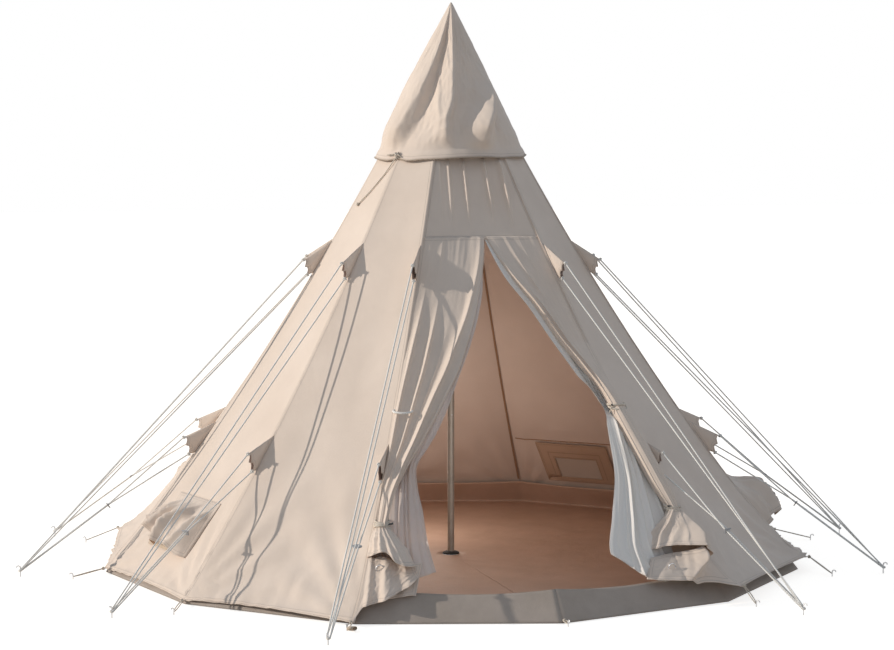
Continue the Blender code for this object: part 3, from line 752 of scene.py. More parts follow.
def make_wall(wall):
    rows = []
    for height in wall_levels():
        half = (seam_point(wall + 1, height) - seam_point(wall, height)).length / 2
        inner = min(WINDOW_WIDTH / 2, 0.5 * half)
        if WINDOW_SILL_HEIGHT - 0.05 < height < WINDOW_HEAD_HEIGHT + 0.05:
            inner = WINDOW_WIDTH / 2
        row = [wall_point(wall, x, half, height) for x in wall_columns(half, inner)]
        if wall == 1:
            row = list(reversed(overlap_points(wall, height, True))) + row
        rows.append(row + overlap_points(wall, height, False))
    holes = set()
    if wall in WINDOW_WALLS:
        window_rows = range(HEM_ROWS, HEM_ROWS + WINDOW_ROWS)
        holes = {(i, j) for i in window_rows for j in range(*WINDOW_COLUMNS)}
    piece = grid_object(f"canvas_wall_{wall:02d}", rows, (canvas, shaded_lining), away_from_pole, holes=holes)
    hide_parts(f"wall_panel_{wall:02d}")
    declare_cloth(piece, rows)


# Pleats of the panel over the doorway: metres from its middle, and height
LINTEL_PLEATS = ((-0.180, 0.008), (-0.130, 0.018), (-0.045, 0.025), (0.075, 0.031), (0.165, 0.036))
PLEAT_HALF_WIDTH = 0.011
LINTEL_OUT = Vector((0, -0.93, 0.37))


def make_lintel():
    """The flat panel over the doorway, with pleats that hang down from under the cowl."""
    top = CROWN_HEIGHT - 0.02

    def place(t, u):
        height = LINTEL_HEIGHT - 0.012 + (top - LINTEL_HEIGHT) * t
        first, second = seam_point(1, height), seam_point(-1, height)
        half = (second - first).length / 2
        share = 2 * u - 1
        hang = smooth_step((height - LINTEL_HEIGHT - 0.03) / 0.2)
        hang *= smooth_step((COWL_HEM_HEIGHT + 0.01 - height) / 0.05)
        out = (0.003 * wobble(share * 3, height * 2.5, 9.1) - 0.006) * (1 - share**2)
        for x, tall in LINTEL_PLEATS:
            lean = x * (1 + 0.5 * (2.24 - height))
            out += tall * hang * crest(share * half - lean, PLEAT_HALF_WIDTH)
        return first + (second - first) * u + LINTEL_OUT * out

    rows = grid_rows(70, 120, place)
    piece = grid_object("canvas_lintel", rows, (canvas, shaded_lining), Vector((0, -1, 0.3)))
    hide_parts("door_lintel_panel")
    declare_cloth(piece, rows)


# Guy tabs

def tab_axes(corner, top_height):
    apex = seam_point(corner, top_height)
    down = (seam_point(corner, top_height - TAB_LENGTH) - apex).normalized()
    out = tangent(corner).cross(down)
    if out.dot(radial(corner)) < 0:
        out.negate()
    return apex, down, out


def tab_corners(corner, top_height, reach):
    apex, down, out = tab_axes(corner, top_height)
    apex = apex + tangent(corner) * (1 if corner == 1 else -1) * (SEAM_GAP / 2 + TAB_THICKNESS / 2)
    outer = apex + down * TAB_OUTER_DROP + out * reach
    inner = apex + down * TAB_LENGTH + out * TAB_INNER_REACH
    return outer, inner


def make_tab(corner, top_height, reach, name):
    """Folded canvas that stands out of the seam, open along its scalloped lower edge."""
    apex, down, out = tab_axes(corner, top_height)
    side = tangent(corner)
    tip_seam = Vector((TAB_LENGTH - 0.03, -0.002))
    tip_inner = Vector((TAB_LENGTH, TAB_INNER_REACH))
    tip_outer = Vector((TAB_OUTER_DROP, reach))

    def place(t, s, hand):
        low = tip_seam.lerp(tip_inner, s / 0.25) if s < 0.25 else tip_inner.lerp(tip_outer, (s - 0.25) / 0.75)
        scallop = 0.020 * abs(math.sin(math.pi * (s - 0.25) / 0.375)) if s > 0.25 else 0.0
        along, away = low.x * t - scallop * t**4, low.y * t
        puff = (0.0105 * math.sin(math.pi * min(s * 1.05, 1)) * t + 0.0022 * (1 - s)) * hand
        puff += 0.002 * wobble(s * 4, t * 4, corner + top_height * 7 + hand)
        return apex + down * along + out * away + side * puff

    # The cloth goes out along one face, turns at the tip and comes back along the other
    rows = grid_rows(12, 16, lambda t, u: place(t, min(u, 1 - u) * 2, -1 if u <= 0.5 else 1))
    middle = apex + down * 0.12 + out * 0.03
    piece = grid_object(name, rows, (canvas, shaded_tab_lining), lambda p: (p - middle).normalized(), TAB_CANVAS)
    declare_cloth(piece, rows)


# Guy lines

# The small runners: half their length before their ends are drawn out, half their width, radius of their holes
RUNNER_HALF_LENGTH = ROPE_TURN_RADIUS + 0.009
RUNNER_HALF_WIDTH = 0.011
RUNNER_HOLE = 0.0075
# Size of the knots at the lines' ends
GUY_KNOT = 0.007


def peg_place(corner, height):
    return radial(corner) * GUY_PEG_RADIUS + UP * height


def rope_turn(corner, height):
    """The rope's way round the back of its peg."""
    points = []
    for share in (0, 0.25, 0.5, 0.75, 1):
        angle = math.pi * share
        across = tangent(corner) * ROPE_TURN_RADIUS * math.cos(angle)
        beyond = radial(corner) * ROPE_TURN_RADIUS * math.sin(angle)
        points.append(peg_place(corner, height) + across + beyond)
    return points


def slider_place(corner):
    outer, inner = tab_corners(corner, LOWER_TAB_HEIGHT, LOWER_TAB_REACH)
    target = peg_place(corner, ROPE_HEIGHT_AT_PEG)
    start = (outer + inner) / 2
    place = start + (target - start) * SLIDER_SHARE
    return place - tangent(corner) * place.dot(tangent(corner))


def rope_end(corner_point, towards):
    return corner_point + (towards - corner_point).normalized() * SOLID_GAP


def rope_routes(corner):
    upper_outer, upper_inner = tab_corners(corner, UPPER_TAB_HEIGHT, UPPER_TAB_REACH)
    turn = rope_turn(corner, ROPE_HEIGHT_AT_PEG + ROPE_STACK)
    upper = [rope_end(upper_outer, turn[0])] + turn + [rope_end(upper_inner, turn[-1])]
    lower_outer, lower_inner = tab_corners(corner, LOWER_TAB_HEIGHT, LOWER_TAB_REACH)
    place = slider_place(corner)
    first = place + tangent(corner) * ROPE_TURN_RADIUS
    second = place - tangent(corner) * ROPE_TURN_RADIUS
    turn = rope_turn(corner, ROPE_HEIGHT_AT_PEG)
    lower = [rope_end(lower_outer, first), first] + turn + [second, rope_end(lower_inner, second)]
    return upper, lower


def make_runners():
    """Small two-hole runners on the lower lines that carry no jointed one."""
    plates = []
    for corner in range(1, SIDES):
        if corner in SLIDER_CORNERS:
            continue
        place = slider_place(corner)
        along = (peg_place(corner, ROPE_HEIGHT_AT_PEG) - place).normalized()
        side = tangent(corner)
        route = []
        for angle in turns(36):
            wide = RUNNER_HALF_LENGTH * math.cos(angle) * (1 + 0.35 * math.cos(2 * angle))
            route.append(place + side * wide + along * RUNNER_HALF_WIDTH * math.sin(angle))
        plates.append(route)
        for hand in (-1, 1):
            plates.append(ring_route(place + side * hand * ROPE_TURN_RADIUS, side, along, RUNNER_HOLE))
    tubes_piece("guy_runners", plates, RUNNER_BAR, runner, closed=True)


def make_guy(corner):
    """Both lines of a corner; returns the routes of their knots."""
    knots = []
    for name, route in zip(("upper", "lower"), rope_routes(corner)):
        piece = tube_object(f"guy_line_{corner:02d}_{name}", [route], ROPE_DIAMETER / 2, cord_white)
        fit(piece)
        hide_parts(f"guy_rope_{corner:02d}")
        declare_cord(route)
        for end, next_point in ((route[0], route[1]), (route[-1], route[-2])):
            knots.append(knot_route(end, (next_point - end).normalized(), GUY_KNOT))
    return knots


def make_guys():
    knots = []
    for corner in range(1, SIDES):
        knots += make_guy(corner)
    make_runners()
    tubes_piece("guy_knots", knots, KNOT_CORD, cord_white, closed=True)


# Cowl

# How far the loose cloth stands out round the cowl: (angle in degrees from the door towards -X, distance)
COWL_FOLDS = (
    (-180, 0.0), (-158, 0.026), (-140, 0.004), (-118, 0.030), (-98, 0.004), (-80, 0.002), (-62, 0.0),
    (-50, 0.004), (-40, 0.010), (-30, 0.014), (-20, 0.008), (-8, 0.0), (4, 0.0), (10, 0.014),
    (14, 0.056), (17, 0.066), (22, 0.052), (32, 0.030), (44, 0.008), (56, -0.008), (60, 0.006), (64, 0.036),
    (68, 0.060), (72, 0.062), (84, 0.040), (98, 0.010), (116, 0.030), (136, 0.002), (156, 0.030), (180, 0.0),
)
# The tie that gathers the hem: its angle, how far down its end lies, and how far round, in walls
COWL_TIE_ANGLE = 60
COWL_TIE_DROP = 0.26
COWL_TIE_LEAN = 0.8
# The loose fold on the right: angles of its foot and its crest, and its height, by share of the way down
BULGE_FOOT = ((0.38, -24), (0.6, -7), (0.7, 2), (0.8, 8), (0.9, 10))
BULGE_CREST = ((0.38, -40), (0.6, -25), (0.7, -17), (0.8, -11), (0.9, -9))
BULGE_TALL = ((0.36, 0.0), (0.50, 0.040), (0.62, 0.085), (0.78, 0.118), (0.88, 0.065), (0.96, 0.0))
# The closed peak: heights above the top and distances from the axis
COWL_PEAK = ((0.016, 0.001), (0.013, 0.004), (0.007, 0.0075))
COWL_COLUMNS = 360


def cowl_radius(height):
    drop = (COWL_TOP_HEIGHT - height) / (COWL_TOP_HEIGHT - COWL_HEM_HEIGHT)
    hem = wall_radius(COWL_HEM_HEIGHT) + COWL_EASE
    return COWL_TOP_RADIUS + (hem - COWL_TOP_RADIUS) * drop


def cowl_crumple(angle, turned, drop):
    """Small creases, most of them round the folds on the front."""
    place = Vector((math.cos(math.radians(angle)), math.sin(math.radians(angle)), 0))
    place *= cowl_radius(COWL_HEM_HEIGHT)
    crumple = 0.008 * wobble(place.x * 7, place.y * 7, drop * 4)
    crumple += 0.018 * ridge(0.25, place.x * 12, place.y * 12, drop * 5.5)
    crumple += 0.010 * ridge(0.25, place.x * 24 + drop * 9, place.y * 24, drop * 9)
    crumple *= 0.22 + 0.55 * bell(turned - 27, 20) + 0.7 * bell(turned + 22, 18)
    crumple += 0.0022 * wobble(place.x * 45, place.y * 45, drop * 22)
    return crumple * smooth_step(drop / 0.3) * (1 - 0.8 * smooth_step((drop - 0.82) / 0.12))


def cowl_offset(angle, drop):
    """Folds that start at the peak, stand out most below half height and are drawn in again by the hem."""
    turned = half_turn(angle)
    bend = -6 * bell(drop - 0.78, 0.13) * bell(turned - 18, 14) + (40 - 42 * drop) * bell(turned - 48, 25)
    lean = turned + bend + 2 * wobble(drop * 2.2, turned / 40, 6.6) * drop
    drawn = 1 - 0.95 * smooth_step((drop - 0.78) / 0.19)
    total = keyed(COWL_FOLDS, lean) * min(1.0, drop / 0.5) * drawn
    foot, top_line = keyed(BULGE_FOOT, drop), keyed(BULGE_CREST, drop)
    share = (foot - turned) / (foot - top_line)
    rise = max(share, 0.0) ** 1.3 if share < 1 else 1 - smooth_step((share - 1) / 0.9)
    total += keyed(BULGE_TALL, drop) * rise
    total += 0.016 * crest(turned - 30 + 30 * (drop - 0.6), 4) * bell(drop - 0.62, 0.16)
    return total + cowl_crumple(angle, turned, drop)


def cowl_point(drop, u):
    angle = 180 + 360 * u
    place = math.radians(angle)
    tied = bell(half_turn(angle - COWL_TIE_ANGLE), 6)
    gather = tied * smooth_step((drop - 0.8) / 0.2)
    scallop = 0.010 * math.cos(math.radians(3 * (angle - 120))) * drop**3
    height = COWL_TOP_HEIGHT - 0.004 + (COWL_HEM_HEIGHT - COWL_TOP_HEIGHT) * drop
    height += scallop + 0.012 * gather + 0.003 * wobble(angle / 14, drop, 4.4) * drop**4
    height += 0.028 * bell(angle - 285, 40) * drop**3
    pleat = 0.004 * math.cos(math.radians(angle * 30)) * tied * smooth_step((drop - 0.6) / 0.4)
    out = cowl_radius(height) + cowl_offset(angle, drop) + pleat - 0.004 * gather
    lip = 0.004 * smooth_step((drop - 0.945) / 0.012) - 0.006 * smooth_step((drop - 0.85) / 0.09)
    out = max(out + lip, wall_radius(height) + 0.006 if drop > 0.3 else 0.010)
    return Vector((-math.sin(place) * out, -math.cos(place) * out, height))


def make_cowl():
    rows = []
    for rise, reach in COWL_PEAK:
        peak = UP * (COWL_TOP_HEIGHT + rise)
        rows.append([radial(6 + SIDES * i / COWL_COLUMNS) * reach + peak for i in range(COWL_COLUMNS + 1)])
    rows += grid_rows(120, COWL_COLUMNS, cowl_point)
    piece = grid_object("canvas_cowl", rows, (canvas, shaded_lining), away_from_pole)
    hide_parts("cowl")
    declare_cloth(piece, rows)
    hem = [p - UP * 0.001 + Vector((p.x, p.y, 0)).normalized() * 0.002 for p in rows[-1][:-1]]
    tubes_piece("cowl_hem_cord", [hem], HEM_CORD, cord_brown_and_shade, closed=True)
    make_cowl_tie(rows)


def make_cowl_tie(rows):
    """Where the hem is gathered: a knot, a bow of cord beside it, and a tie down to the wall below."""
    column = round(COWL_COLUMNS * ((COWL_TIE_ANGLE - 180) % 360) / 360)
    corner = COWL_TIE_ANGLE * SIDES / 360
    out, side = wall_normal(corner), tangent(corner)
    knot = rows[-3][column] + out * 0.009
    knots = [knot_route(knot, side, 0.011), knot_route(knot - UP * 0.014, (side + out).normalized(), 0.008)]
    bows = []
    for hand, reach, rise in ((-1, 0.03, -0.012), (1, 0.075, -0.004)):
        tip = knot + side * hand * reach + UP * rise
        bow = []
        for angle in turns(14):
            bow.append(knot.lerp(tip, 0.5 - 0.5 * math.cos(angle)) + out * (0.004 + 0.005 * math.sin(angle)))
        bows.append(bow)
    end = wall_point_at(corner + COWL_TIE_LEAN, COWL_HEM_HEIGHT - COWL_TIE_DROP)
    route = [knot - UP * 0.012 + out * 0.004]
    for share in (0.35, 0.7, 1.0):
        route.append(wall_point_at(corner + COWL_TIE_LEAN * share, COWL_HEM_HEIGHT - COWL_TIE_DROP * share))
    piece = tube_object(f"cowl_tie_{COWL_TIE_ANGLE}", [route], COWL_TIE, cord_cream)
    fit(piece)
    declare_cord(route)
    knots.append(knot_route(end, side, 0.006))
    tubes_piece("cowl_knots", knots, 0.0038, cord_cream, closed=True)
    tubes_piece("cowl_bows", bows, KNOT_CORD, cord_cream, closed=True)


# Doorway curtains

# Each curtain: the share of its half of the doorway that it covers at a height, its folds, how tightly it is
# rolled together at a height, the radius of the roll and how far it stands forward. A fold is its place
# across the curtain at the lintel and at the tie, its height, half its width, and the heights of its start
# and end.
LEFT_CURTAIN = {
    "side": 1,
    "gather": (
        (0.3, 0.3), (0.435, 0.09), (0.56, 0.095), (0.685, 0.15), (0.835, 0.265), (1.05, 0.435), (1.17, 0.545),
        (1.3, 0.645), (1.45, 0.768), (1.6, 0.88), (1.85, 1.09),
    ),
    "folds": (
        (0.19, 0.07, 0.032, 0.013, 1.64, 0.0),
        (0.40, 0.36, 0.026, 0.009, 1.60, 0.0),
        (0.90, 0.69, 0.046, 0.015, 1.98, 0.0),
        (0.13, 0.13, 0.014, 0.009, 1.95, 1.72),
        (0.33, 0.30, 0.016, 0.008, 1.95, 1.66),
        (0.62, 0.57, 0.007, 0.008, 1.40, 0.0),
        (0.99, 0.92, 0.018, 0.008, 1.20, 0.0),
    ),
    "bundle": ((0.30, 0.3), (0.42, 1.0), (0.50, 1.0), (0.62, 0.55), (0.80, 0.12), (0.95, 0.0)),
    "radius": ((0.46, 0.027), (0.56, 0.034), (0.7, 0.055)),
    "lead": ((0.46, 0.02), (0.8, 0.0)),
}
RIGHT_CURTAIN = {
    "side": -1,
    "gather": (
        (0.24, 0.39), (0.46, 0.12), (0.7, 0.125), (1.0, 0.15), (1.18, 0.25), (1.32, 0.36), (1.5, 0.50),
        (1.65, 0.70), (1.85, 0.94),
    ),
    "folds": (
        (0.95, 0.88, 0.030, 0.010, 1.86, 0.0),
        (0.84, 0.66, 0.024, 0.009, 1.66, 0.0),
        (0.62, 0.50, 0.015, 0.009, 1.95, 1.50),
        (0.40, 0.34, 0.013, 0.009, 1.95, 1.62),
        (0.48, 0.42, 0.020, 0.010, 1.25, 0.0),
        (0.26, 0.20, 0.018, 0.010, 1.15, 0.0),
    ),
    "bundle": (
        (0.30, 0.3), (0.42, 1.0), (0.50, 1.0), (0.70, 0.9), (0.95, 1.0), (1.04, 1.0), (1.16, 0.35),
        (1.30, 0.0),
    ),
    "radius": ((0.46, 0.032), (0.62, 0.050), (0.80, 0.050), (1.0, 0.040)),
    "lead": ((0.46, 0.05), (0.8, 0.045), (1.0, 0.03), (1.3, 0.0)),
}
# The net curtains also have the height of their hem by share of their width, and 1 for outward where their
# folds turn to the front below the tie
LEFT_NET_CURTAIN = {
    "side": 1,
    "gather": (
        (0.21, 0.385), (0.374, 0.32), (0.615, 0.255), (0.70, 0.235), (0.80, 0.30), (0.97, 0.42),
        (1.125, 0.52), (1.3, 0.662), (1.45, 0.785), (1.6, 0.89), (1.85, 0.98),
    ),
    "folds": (
        (0.10, 0.10, 0.012, 0.012, 1.95, 0.0),
        (0.26, 0.24, 0.016, 0.010, 1.95, 0.0),
        (0.42, 0.45, 0.014, 0.008, 1.95, 0.0),
        (0.55, 0.60, 0.026, 0.009, 1.95, 0.0),
        (0.66, 0.68, 0.022, 0.007, 1.95, 0.0),
        (0.78, 0.82, 0.010, 0.014, 1.95, 0.0),
        (0.92, 0.95, 0.012, 0.012, 1.95, 0.0),
    ),
    "bundle": ((0.5, 0.0), (0.68, 0.35), (0.85, 0.0)),
    "radius": ((0.6, 0.05), (0.8, 0.06)),
    "lead": ((0.0, 0.0), (1.0, 0.0)),
    "hem": ((0.0, 0.19), (0.7, 0.205), (1.0, 0.232)),
    "outward": 0.0,
}
RIGHT_NET_CURTAIN = {
    "side": -1,
    "gather": (
        (0.16, 0.60), (0.28, 0.59), (0.44, 0.49), (0.64, 0.345), (0.8, 0.27), (0.97, 0.2), (1.05, 0.24),
        (1.17, 0.315), (1.31, 0.42), (1.48, 0.56), (1.65, 0.78), (1.85, 0.95),
    ),
    "folds": (
        (0.12, 0.10, 0.008, 0.012, 1.95, 0.0),
        (0.26, 0.24, 0.010, 0.010, 1.95, 0.0),
        (0.42, 0.42, 0.010, 0.007, 1.95, 0.0),
        (0.54, 0.54, 0.010, 0.007, 1.95, 0.0),
        (0.65, 0.65, 0.018, 0.006, 1.95, 0.0),
        (0.74, 0.735, 0.034, 0.007, 1.95, 0.0),
        (0.80, 0.80, 0.008, 0.005, 1.95, 0.0),
        (0.93, 0.92, 0.005, 0.010, 1.95, 0.0),
    ),
    "bundle": ((0.88, 0.0), (0.97, 0.8), (1.02, 0.8), (1.12, 0.0)),
    "radius": ((0.9, 0.04), (1.1, 0.04)),
    "lead": ((0.15, -0.006), (0.4, 0.0), (0.85, 0.02), (1.0, 0.0)),
    "hem": ((0.0, 0.13), (0.5, 0.132), (0.68, 0.152), (0.80, 0.20), (0.88, 0.236), (1.0, 0.280)),
    "outward": 1.0,
}


def door_middle(height):
    top_radius = wall_radius(LINTEL_HEIGHT) * math.cos(STEP)
    radius = HEM_RADIUS + (top_radius - HEM_RADIUS) * height / LINTEL_HEIGHT
    return Vector((0, -radius, height))


def door_axes(side, height):
    """Seam end, direction along the doorway, outward direction and width of one half of the doorway."""
    start = seam_point(side, height)
    across = door_middle(height) - start
    width = across.length
    across = across / width
    facing = Vector((across.y, -across.x, 0)).normalized()
    if facing.y > 0:
        facing.negate()
    return start, across, facing, width


def fold_depth(shape, u, height, cover, span):
    """How far the folds of a curtain stand forward at a place."""
    depth = 0.0
    for index, (high, low, tall, spread, top, end) in enumerate(shape["folds"]):
        place = low + (high - low) * smooth_step((height - 0.9) / 0.9)
        drift = 0.012 * wobble(height * 0.9, index * 3.7, shape["side"] * 5)
        away = (u - place - drift) * span
        thick = spread * (0.45 + 0.55 * min(1.0, cover * 1.6))
        thick *= 1 + 0.25 * wobble(height * 1.1, index * 2.1)
        grown = smooth_step((top - height) / 0.3) * (0.45 + 0.55 * smooth_step((1 - cover) * 2))
        if end:
            grown *= smooth_step((height - end) / 0.12)
        grown *= 1 + 0.3 * wobble(height * 1.3, index * 5.3, 2.2)
        depth += tall * grown * crest(away, max(thick, 0.006))
    return depth


def curtain_point(shape, u, height, depth_scale=1.0, inset=0.0, turn=0.030):
    """A place on a curtain: u from the seam, 0, to its free edge, 1, which turns back by the given depth."""
    side = shape["side"]
    start, across, facing, width = door_axes(side, height)
    cover = keyed(shape["gather"], height)
    span = cover * width
    bundle = keyed(shape["bundle"], height)
    depth = fold_depth(shape, u, height, cover, span)
    depth += 0.0035 * wobble(u * 9, height * 1.6, side * 3.1) + 0.002 * wobble(u * 16, height * 7, side * 4.3)
    depth -= turn * smooth_step((u - 0.96) / 0.04)
    lateral = span * u
    if bundle > 0.005:
        radius = keyed(shape["radius"], height)
        angle = math.pi * (u - 0.5)
        lateral += (span / 2 + radius * math.sin(angle) - lateral) * bundle
        crease = 0.10 * radius * math.cos(angle * 9 + side) * math.cos(angle)
        depth = depth * (1 - 0.45 * bundle) + (radius * 1.05 * math.cos(angle) + crease) * bundle
    forward = depth * depth_scale - inset + keyed(shape["lead"], height)
    return start + across * lateral + facing * forward


def make_curtain(name, node_name, shape, bottom):
    def place(t, u):
        return curtain_point(shape, u, LINTEL_HEIGHT + 0.004 + (bottom - LINTEL_HEIGHT) * t)

    rows = grid_rows(150, 140, place)
    piece = grid_object(name, rows, (canvas, canvas), FRONT)
    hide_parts(node_name)
    declare_cloth(piece, rows)


def make_net_curtain(name, node_name, shape, net):
    def place(t, u):
        height = LINTEL_HEIGHT - 0.004 + (keyed(shape["hem"], u) - LINTEL_HEIGHT) * t
        turned = smooth_step((0.99 - height) / 0.12) * shape["outward"]
        return curtain_point(shape, u, height, -0.8 + 1.9 * turned, 0.014 - 0.012 * turned, 0.004)

    rows = grid_rows(120, 160, place)
    piece = grid_object(name, rows, (net, net), FRONT, NET)
    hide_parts(node_name)
    declare_cloth(piece, rows)


# The free end of each tied curtain. Hem keys are (angle from the front in degrees, height of the hem); folds
# are (angle at the tie, angle at the hem, height, half width in degrees)
LEFT_BELL = {
    "tie": 0.432, "neck": 0.024, "half_width": 0.112, "half_depth": 0.090, "sway": 0.082, "lead": 0.03,
    "skew": 0.0,
    "hem": (
        (-180, 0.255), (-120, 0.275), (-90, 0.303), (-58, 0.318), (-26, 0.338), (-8, 0.322), (14, 0.288),
        (45, 0.270), (90, 0.262), (130, 0.25), (180, 0.255),
    ),
    "folds": (
        (-75, -88, 0.018, 13), (-48, -52, 0.016, 9), (-22, -30, 0.020, 8), (4, 4, 0.016, 8),
        (26, 30, 0.018, 9), (50, 58, 0.016, 10), (78, 88, 0.016, 12), (130, 130, 0.016, 20),
        (-130, -130, 0.016, 20),
    ),
}
RIGHT_BELL = {
    "tie": 0.452, "neck": 0.028, "half_width": 0.118, "half_depth": 0.072, "sway": 0.125, "lead": 0.06,
    "skew": 0.110,
    "hem": (
        (-180, 0.215), (-120, 0.235), (-90, 0.262), (-62, 0.278), (-30, 0.298), (-4, 0.306), (40, 0.308),
        (70, 0.285), (90, 0.255), (130, 0.225), (180, 0.215),
    ),
    "folds": (
        (-66, -80, 0.026, 14), (-38, -44, 0.040, 8), (-16, -18, 0.006, 6), (18, 16, 0.012, 7),
        (42, 46, 0.046, 9), (72, 84, 0.022, 11), (130, 130, 0.016, 20), (-130, -130, 0.016, 20),
    ),
}


def bell_fold(shape, side, turn, t):
    """How far a curtain's free end stands out of a plain cone at an angle and a share of the way down."""
    angle = math.radians(turn)
    fold = 0.0
    for high, low, tall, spread in shape["folds"]:
        place = high + (low - high) * t + 4 * wobble(t * 3, high * 0.3, side)
        fold += tall * crest(half_turn(turn - place), spread)
    fold = fold * (0.25 + 0.75 * smooth_step(t * 1.6)) - 0.008 * t
    fold += 0.010 * wobble(math.sin(angle) * 3, math.cos(angle) * 3 + t * 4, side * 2.7) * t
    fold += 0.006 * ridge(0.3, math.sin(angle) * 6, t * 9, side * 4.7)
    return fold + 0.004 * smooth_step((t - 0.92) / 0.03)


def make_bell(name, node_name, curtain, shape):
    """The free end of a tied curtain: a full ring of cloth that spreads below the tie to an arched hem."""
    side, tie, neck = curtain["side"], shape["tie"], shape["neck"]
    gathered = keyed(curtain["gather"], tie)

    def place(t, u):
        turn = -180 + 360 * u
        angle = math.radians(turn)
        height = tie + 0.014 + (keyed(shape["hem"], turn) - tie - 0.014) * t
        start, across, facing, width = door_axes(side, height)
        spread = 0.55 * t + 0.45 * math.sin(math.pi / 2 * t)
        fold = bell_fold(shape, side, turn, t)
        wide = neck + (shape["half_width"] - neck) * spread + fold
        deep = neck + (shape["half_depth"] - neck) * spread + fold
        swing = shape["skew"] * smooth_step(t * 1.3) * math.sin(angle)
        lateral = gathered * width / 2 + shape["sway"] * t + side * wide * math.sin(angle)
        return start + across * lateral + facing * (shape["lead"] + deep * math.cos(angle) + swing)

    rows = grid_rows(60, 180, place)
    neck_front = rows[0][90]
    outside = lambda point: (point - neck_front).normalized()
    piece = grid_object(name, rows, (canvas, shaded_bell_lining), outside, FULL_CANVAS)
    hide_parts(node_name)
    declare_cloth(piece, rows)


# The lower part of each flap, from the seam, 0, to its free edge, 1: heights of its top and hem, how far it
# stands out, how much nearer to the seam its folds lie at the top than at the hem, and its reach along the
# doorway in metres by share of the way down
LEFT_SKIRT = {
    "side": 1, "slant": 0.08,
    "reach": ((0.0, 0.245), (1.0, 0.275)),
    "top": (
        (0.0, 0.40), (0.05, 0.312), (0.12, 0.296), (0.3, 0.304), (0.45, 0.296), (0.6, 0.278), (0.85, 0.262),
        (1.0, 0.25),
    ),
    "hem": (
        (0.0, 0.012), (0.05, 0.05), (0.13, 0.088), (0.30, 0.100), (0.54, 0.131), (0.86, 0.178), (1.0, 0.212),
    ),
    "out": (
        (0.0, 0.004), (0.09, 0.012), (0.17, 0.040), (0.25, 0.022), (0.34, 0.030), (0.46, 0.074),
        (0.62, 0.050), (0.74, 0.034), (0.84, 0.040), (1.0, 0.0),
    ),
}
RIGHT_SKIRT = {
    "side": -1, "slant": 0.0,
    "reach": ((0.0, 0.33), (1.0, 0.425)),
    "top": ((0.0, 0.42), (0.08, 0.33), (0.3, 0.285), (0.6, 0.262), (0.85, 0.25), (1.0, 0.24)),
    "hem": (
        (0.0, 0.018), (0.1, 0.045), (0.2, 0.075), (0.34, 0.100), (0.44, 0.108), (0.52, 0.137), (0.75, 0.145),
        (1.0, 0.150),
    ),
    "out": ((0.0, 0.004), (0.20, 0.02), (0.40, 0.05), (0.60, 0.085), (0.80, 0.055), (1.0, 0.0)),
    # One fold that turns to the left: metres from the seam of its foot and of its crest, and its height
    "foot": ((0.10, 0.252), (0.14, 0.242), (0.24, 0.212), (0.40, 0.170)),
    "crest": ((0.10, 0.232), (0.14, 0.215), (0.24, 0.095), (0.40, 0.060)),
    "tall": ((0.10, 0.0), (0.135, 0.020), (0.17, 0.070), (0.25, 0.160), (0.33, 0.115), (0.42, 0.0)),
}


def turned_fold(shape, lateral, height):
    """The right flap's one deep fold: steep from its foot to its crest, then sloping back to the seam."""
    foot, top_line = keyed(shape["foot"], height), keyed(shape["crest"], height)
    share = (foot - lateral) / (foot - top_line)
    if share < 1:
        rise = smooth_step(share) * 0.4 + max(share, 0.0) * 0.6
    else:
        rise = smooth_step(lateral / top_line)
    return keyed(shape["tall"], height) * rise


def make_skirt(name, node_name, shape):
    """The flap below its bundle, lying over the raised edge of the groundsheet; returns its points."""
    side = shape["side"]

    def place(t, u):
        top = keyed(shape["top"], u)
        height = top + (keyed(shape["hem"], u) - top) * t
        start, across, facing, width = door_axes(side, height)
        lateral = keyed(shape["reach"], t) * u
        stand = 0.006 + keyed(shape["out"], u + shape["slant"] * (1 - t)) * (0.45 + 0.55 * t)
        if "tall" in shape:
            stand += turned_fold(shape, lateral, height)
        wave_out = 0.005 * wobble(u * 5, t * 3, side * 8.8) + 0.003 * wobble(u * 13, t * 9, side * 6.1)
        wave_out += 0.007 * ridge(0.3, u * 8 + t * 3, t * 4, side * 3.3)
        pull = hem_pull(side, height) * smooth_step(1 - 1.6 * u)
        return start + across * lateral + facing * (stand + wave_out * min(1.0, 6 * u)) + pull

    rows = grid_rows(60, 120, place)
    piece = grid_object(name, rows, (canvas, shaded_lining), FRONT)
    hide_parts(node_name)
    declare_cloth(piece, rows)
    return rows


def make_inner_flap():
    """The second layer of the left flap, hanging behind the first to the groundsheet's edge."""
    top, hem = 0.27, 0.122

    def place(t, u):
        height = top + (hem + 0.006 * math.cos(u * 7) - top) * t
        start, across, facing, width = door_axes(1, height)
        out = 0.004 + 0.006 * math.cos(u * 17) * t + 0.004 * wobble(u * 6, t * 3, 4.4)
        return start + across * (0.06 + 0.215 * u) + facing * out

    rows = grid_rows(30, 60, place)
    piece = grid_object("left_inner_flap", rows, (canvas, shaded_lining), FRONT)
    declare_cloth(piece, rows)


# Cords round the curtains: height, radius, and whether a toggle holds them
LEFT_TIES = ((0.462, 0.035, False), (0.450, 0.038, True), (0.438, 0.037, False))
RIGHT_TIES = ((0.978, 0.048, True), (0.964, 0.050, False), (0.478, 0.040, True), (0.464, 0.044, False))


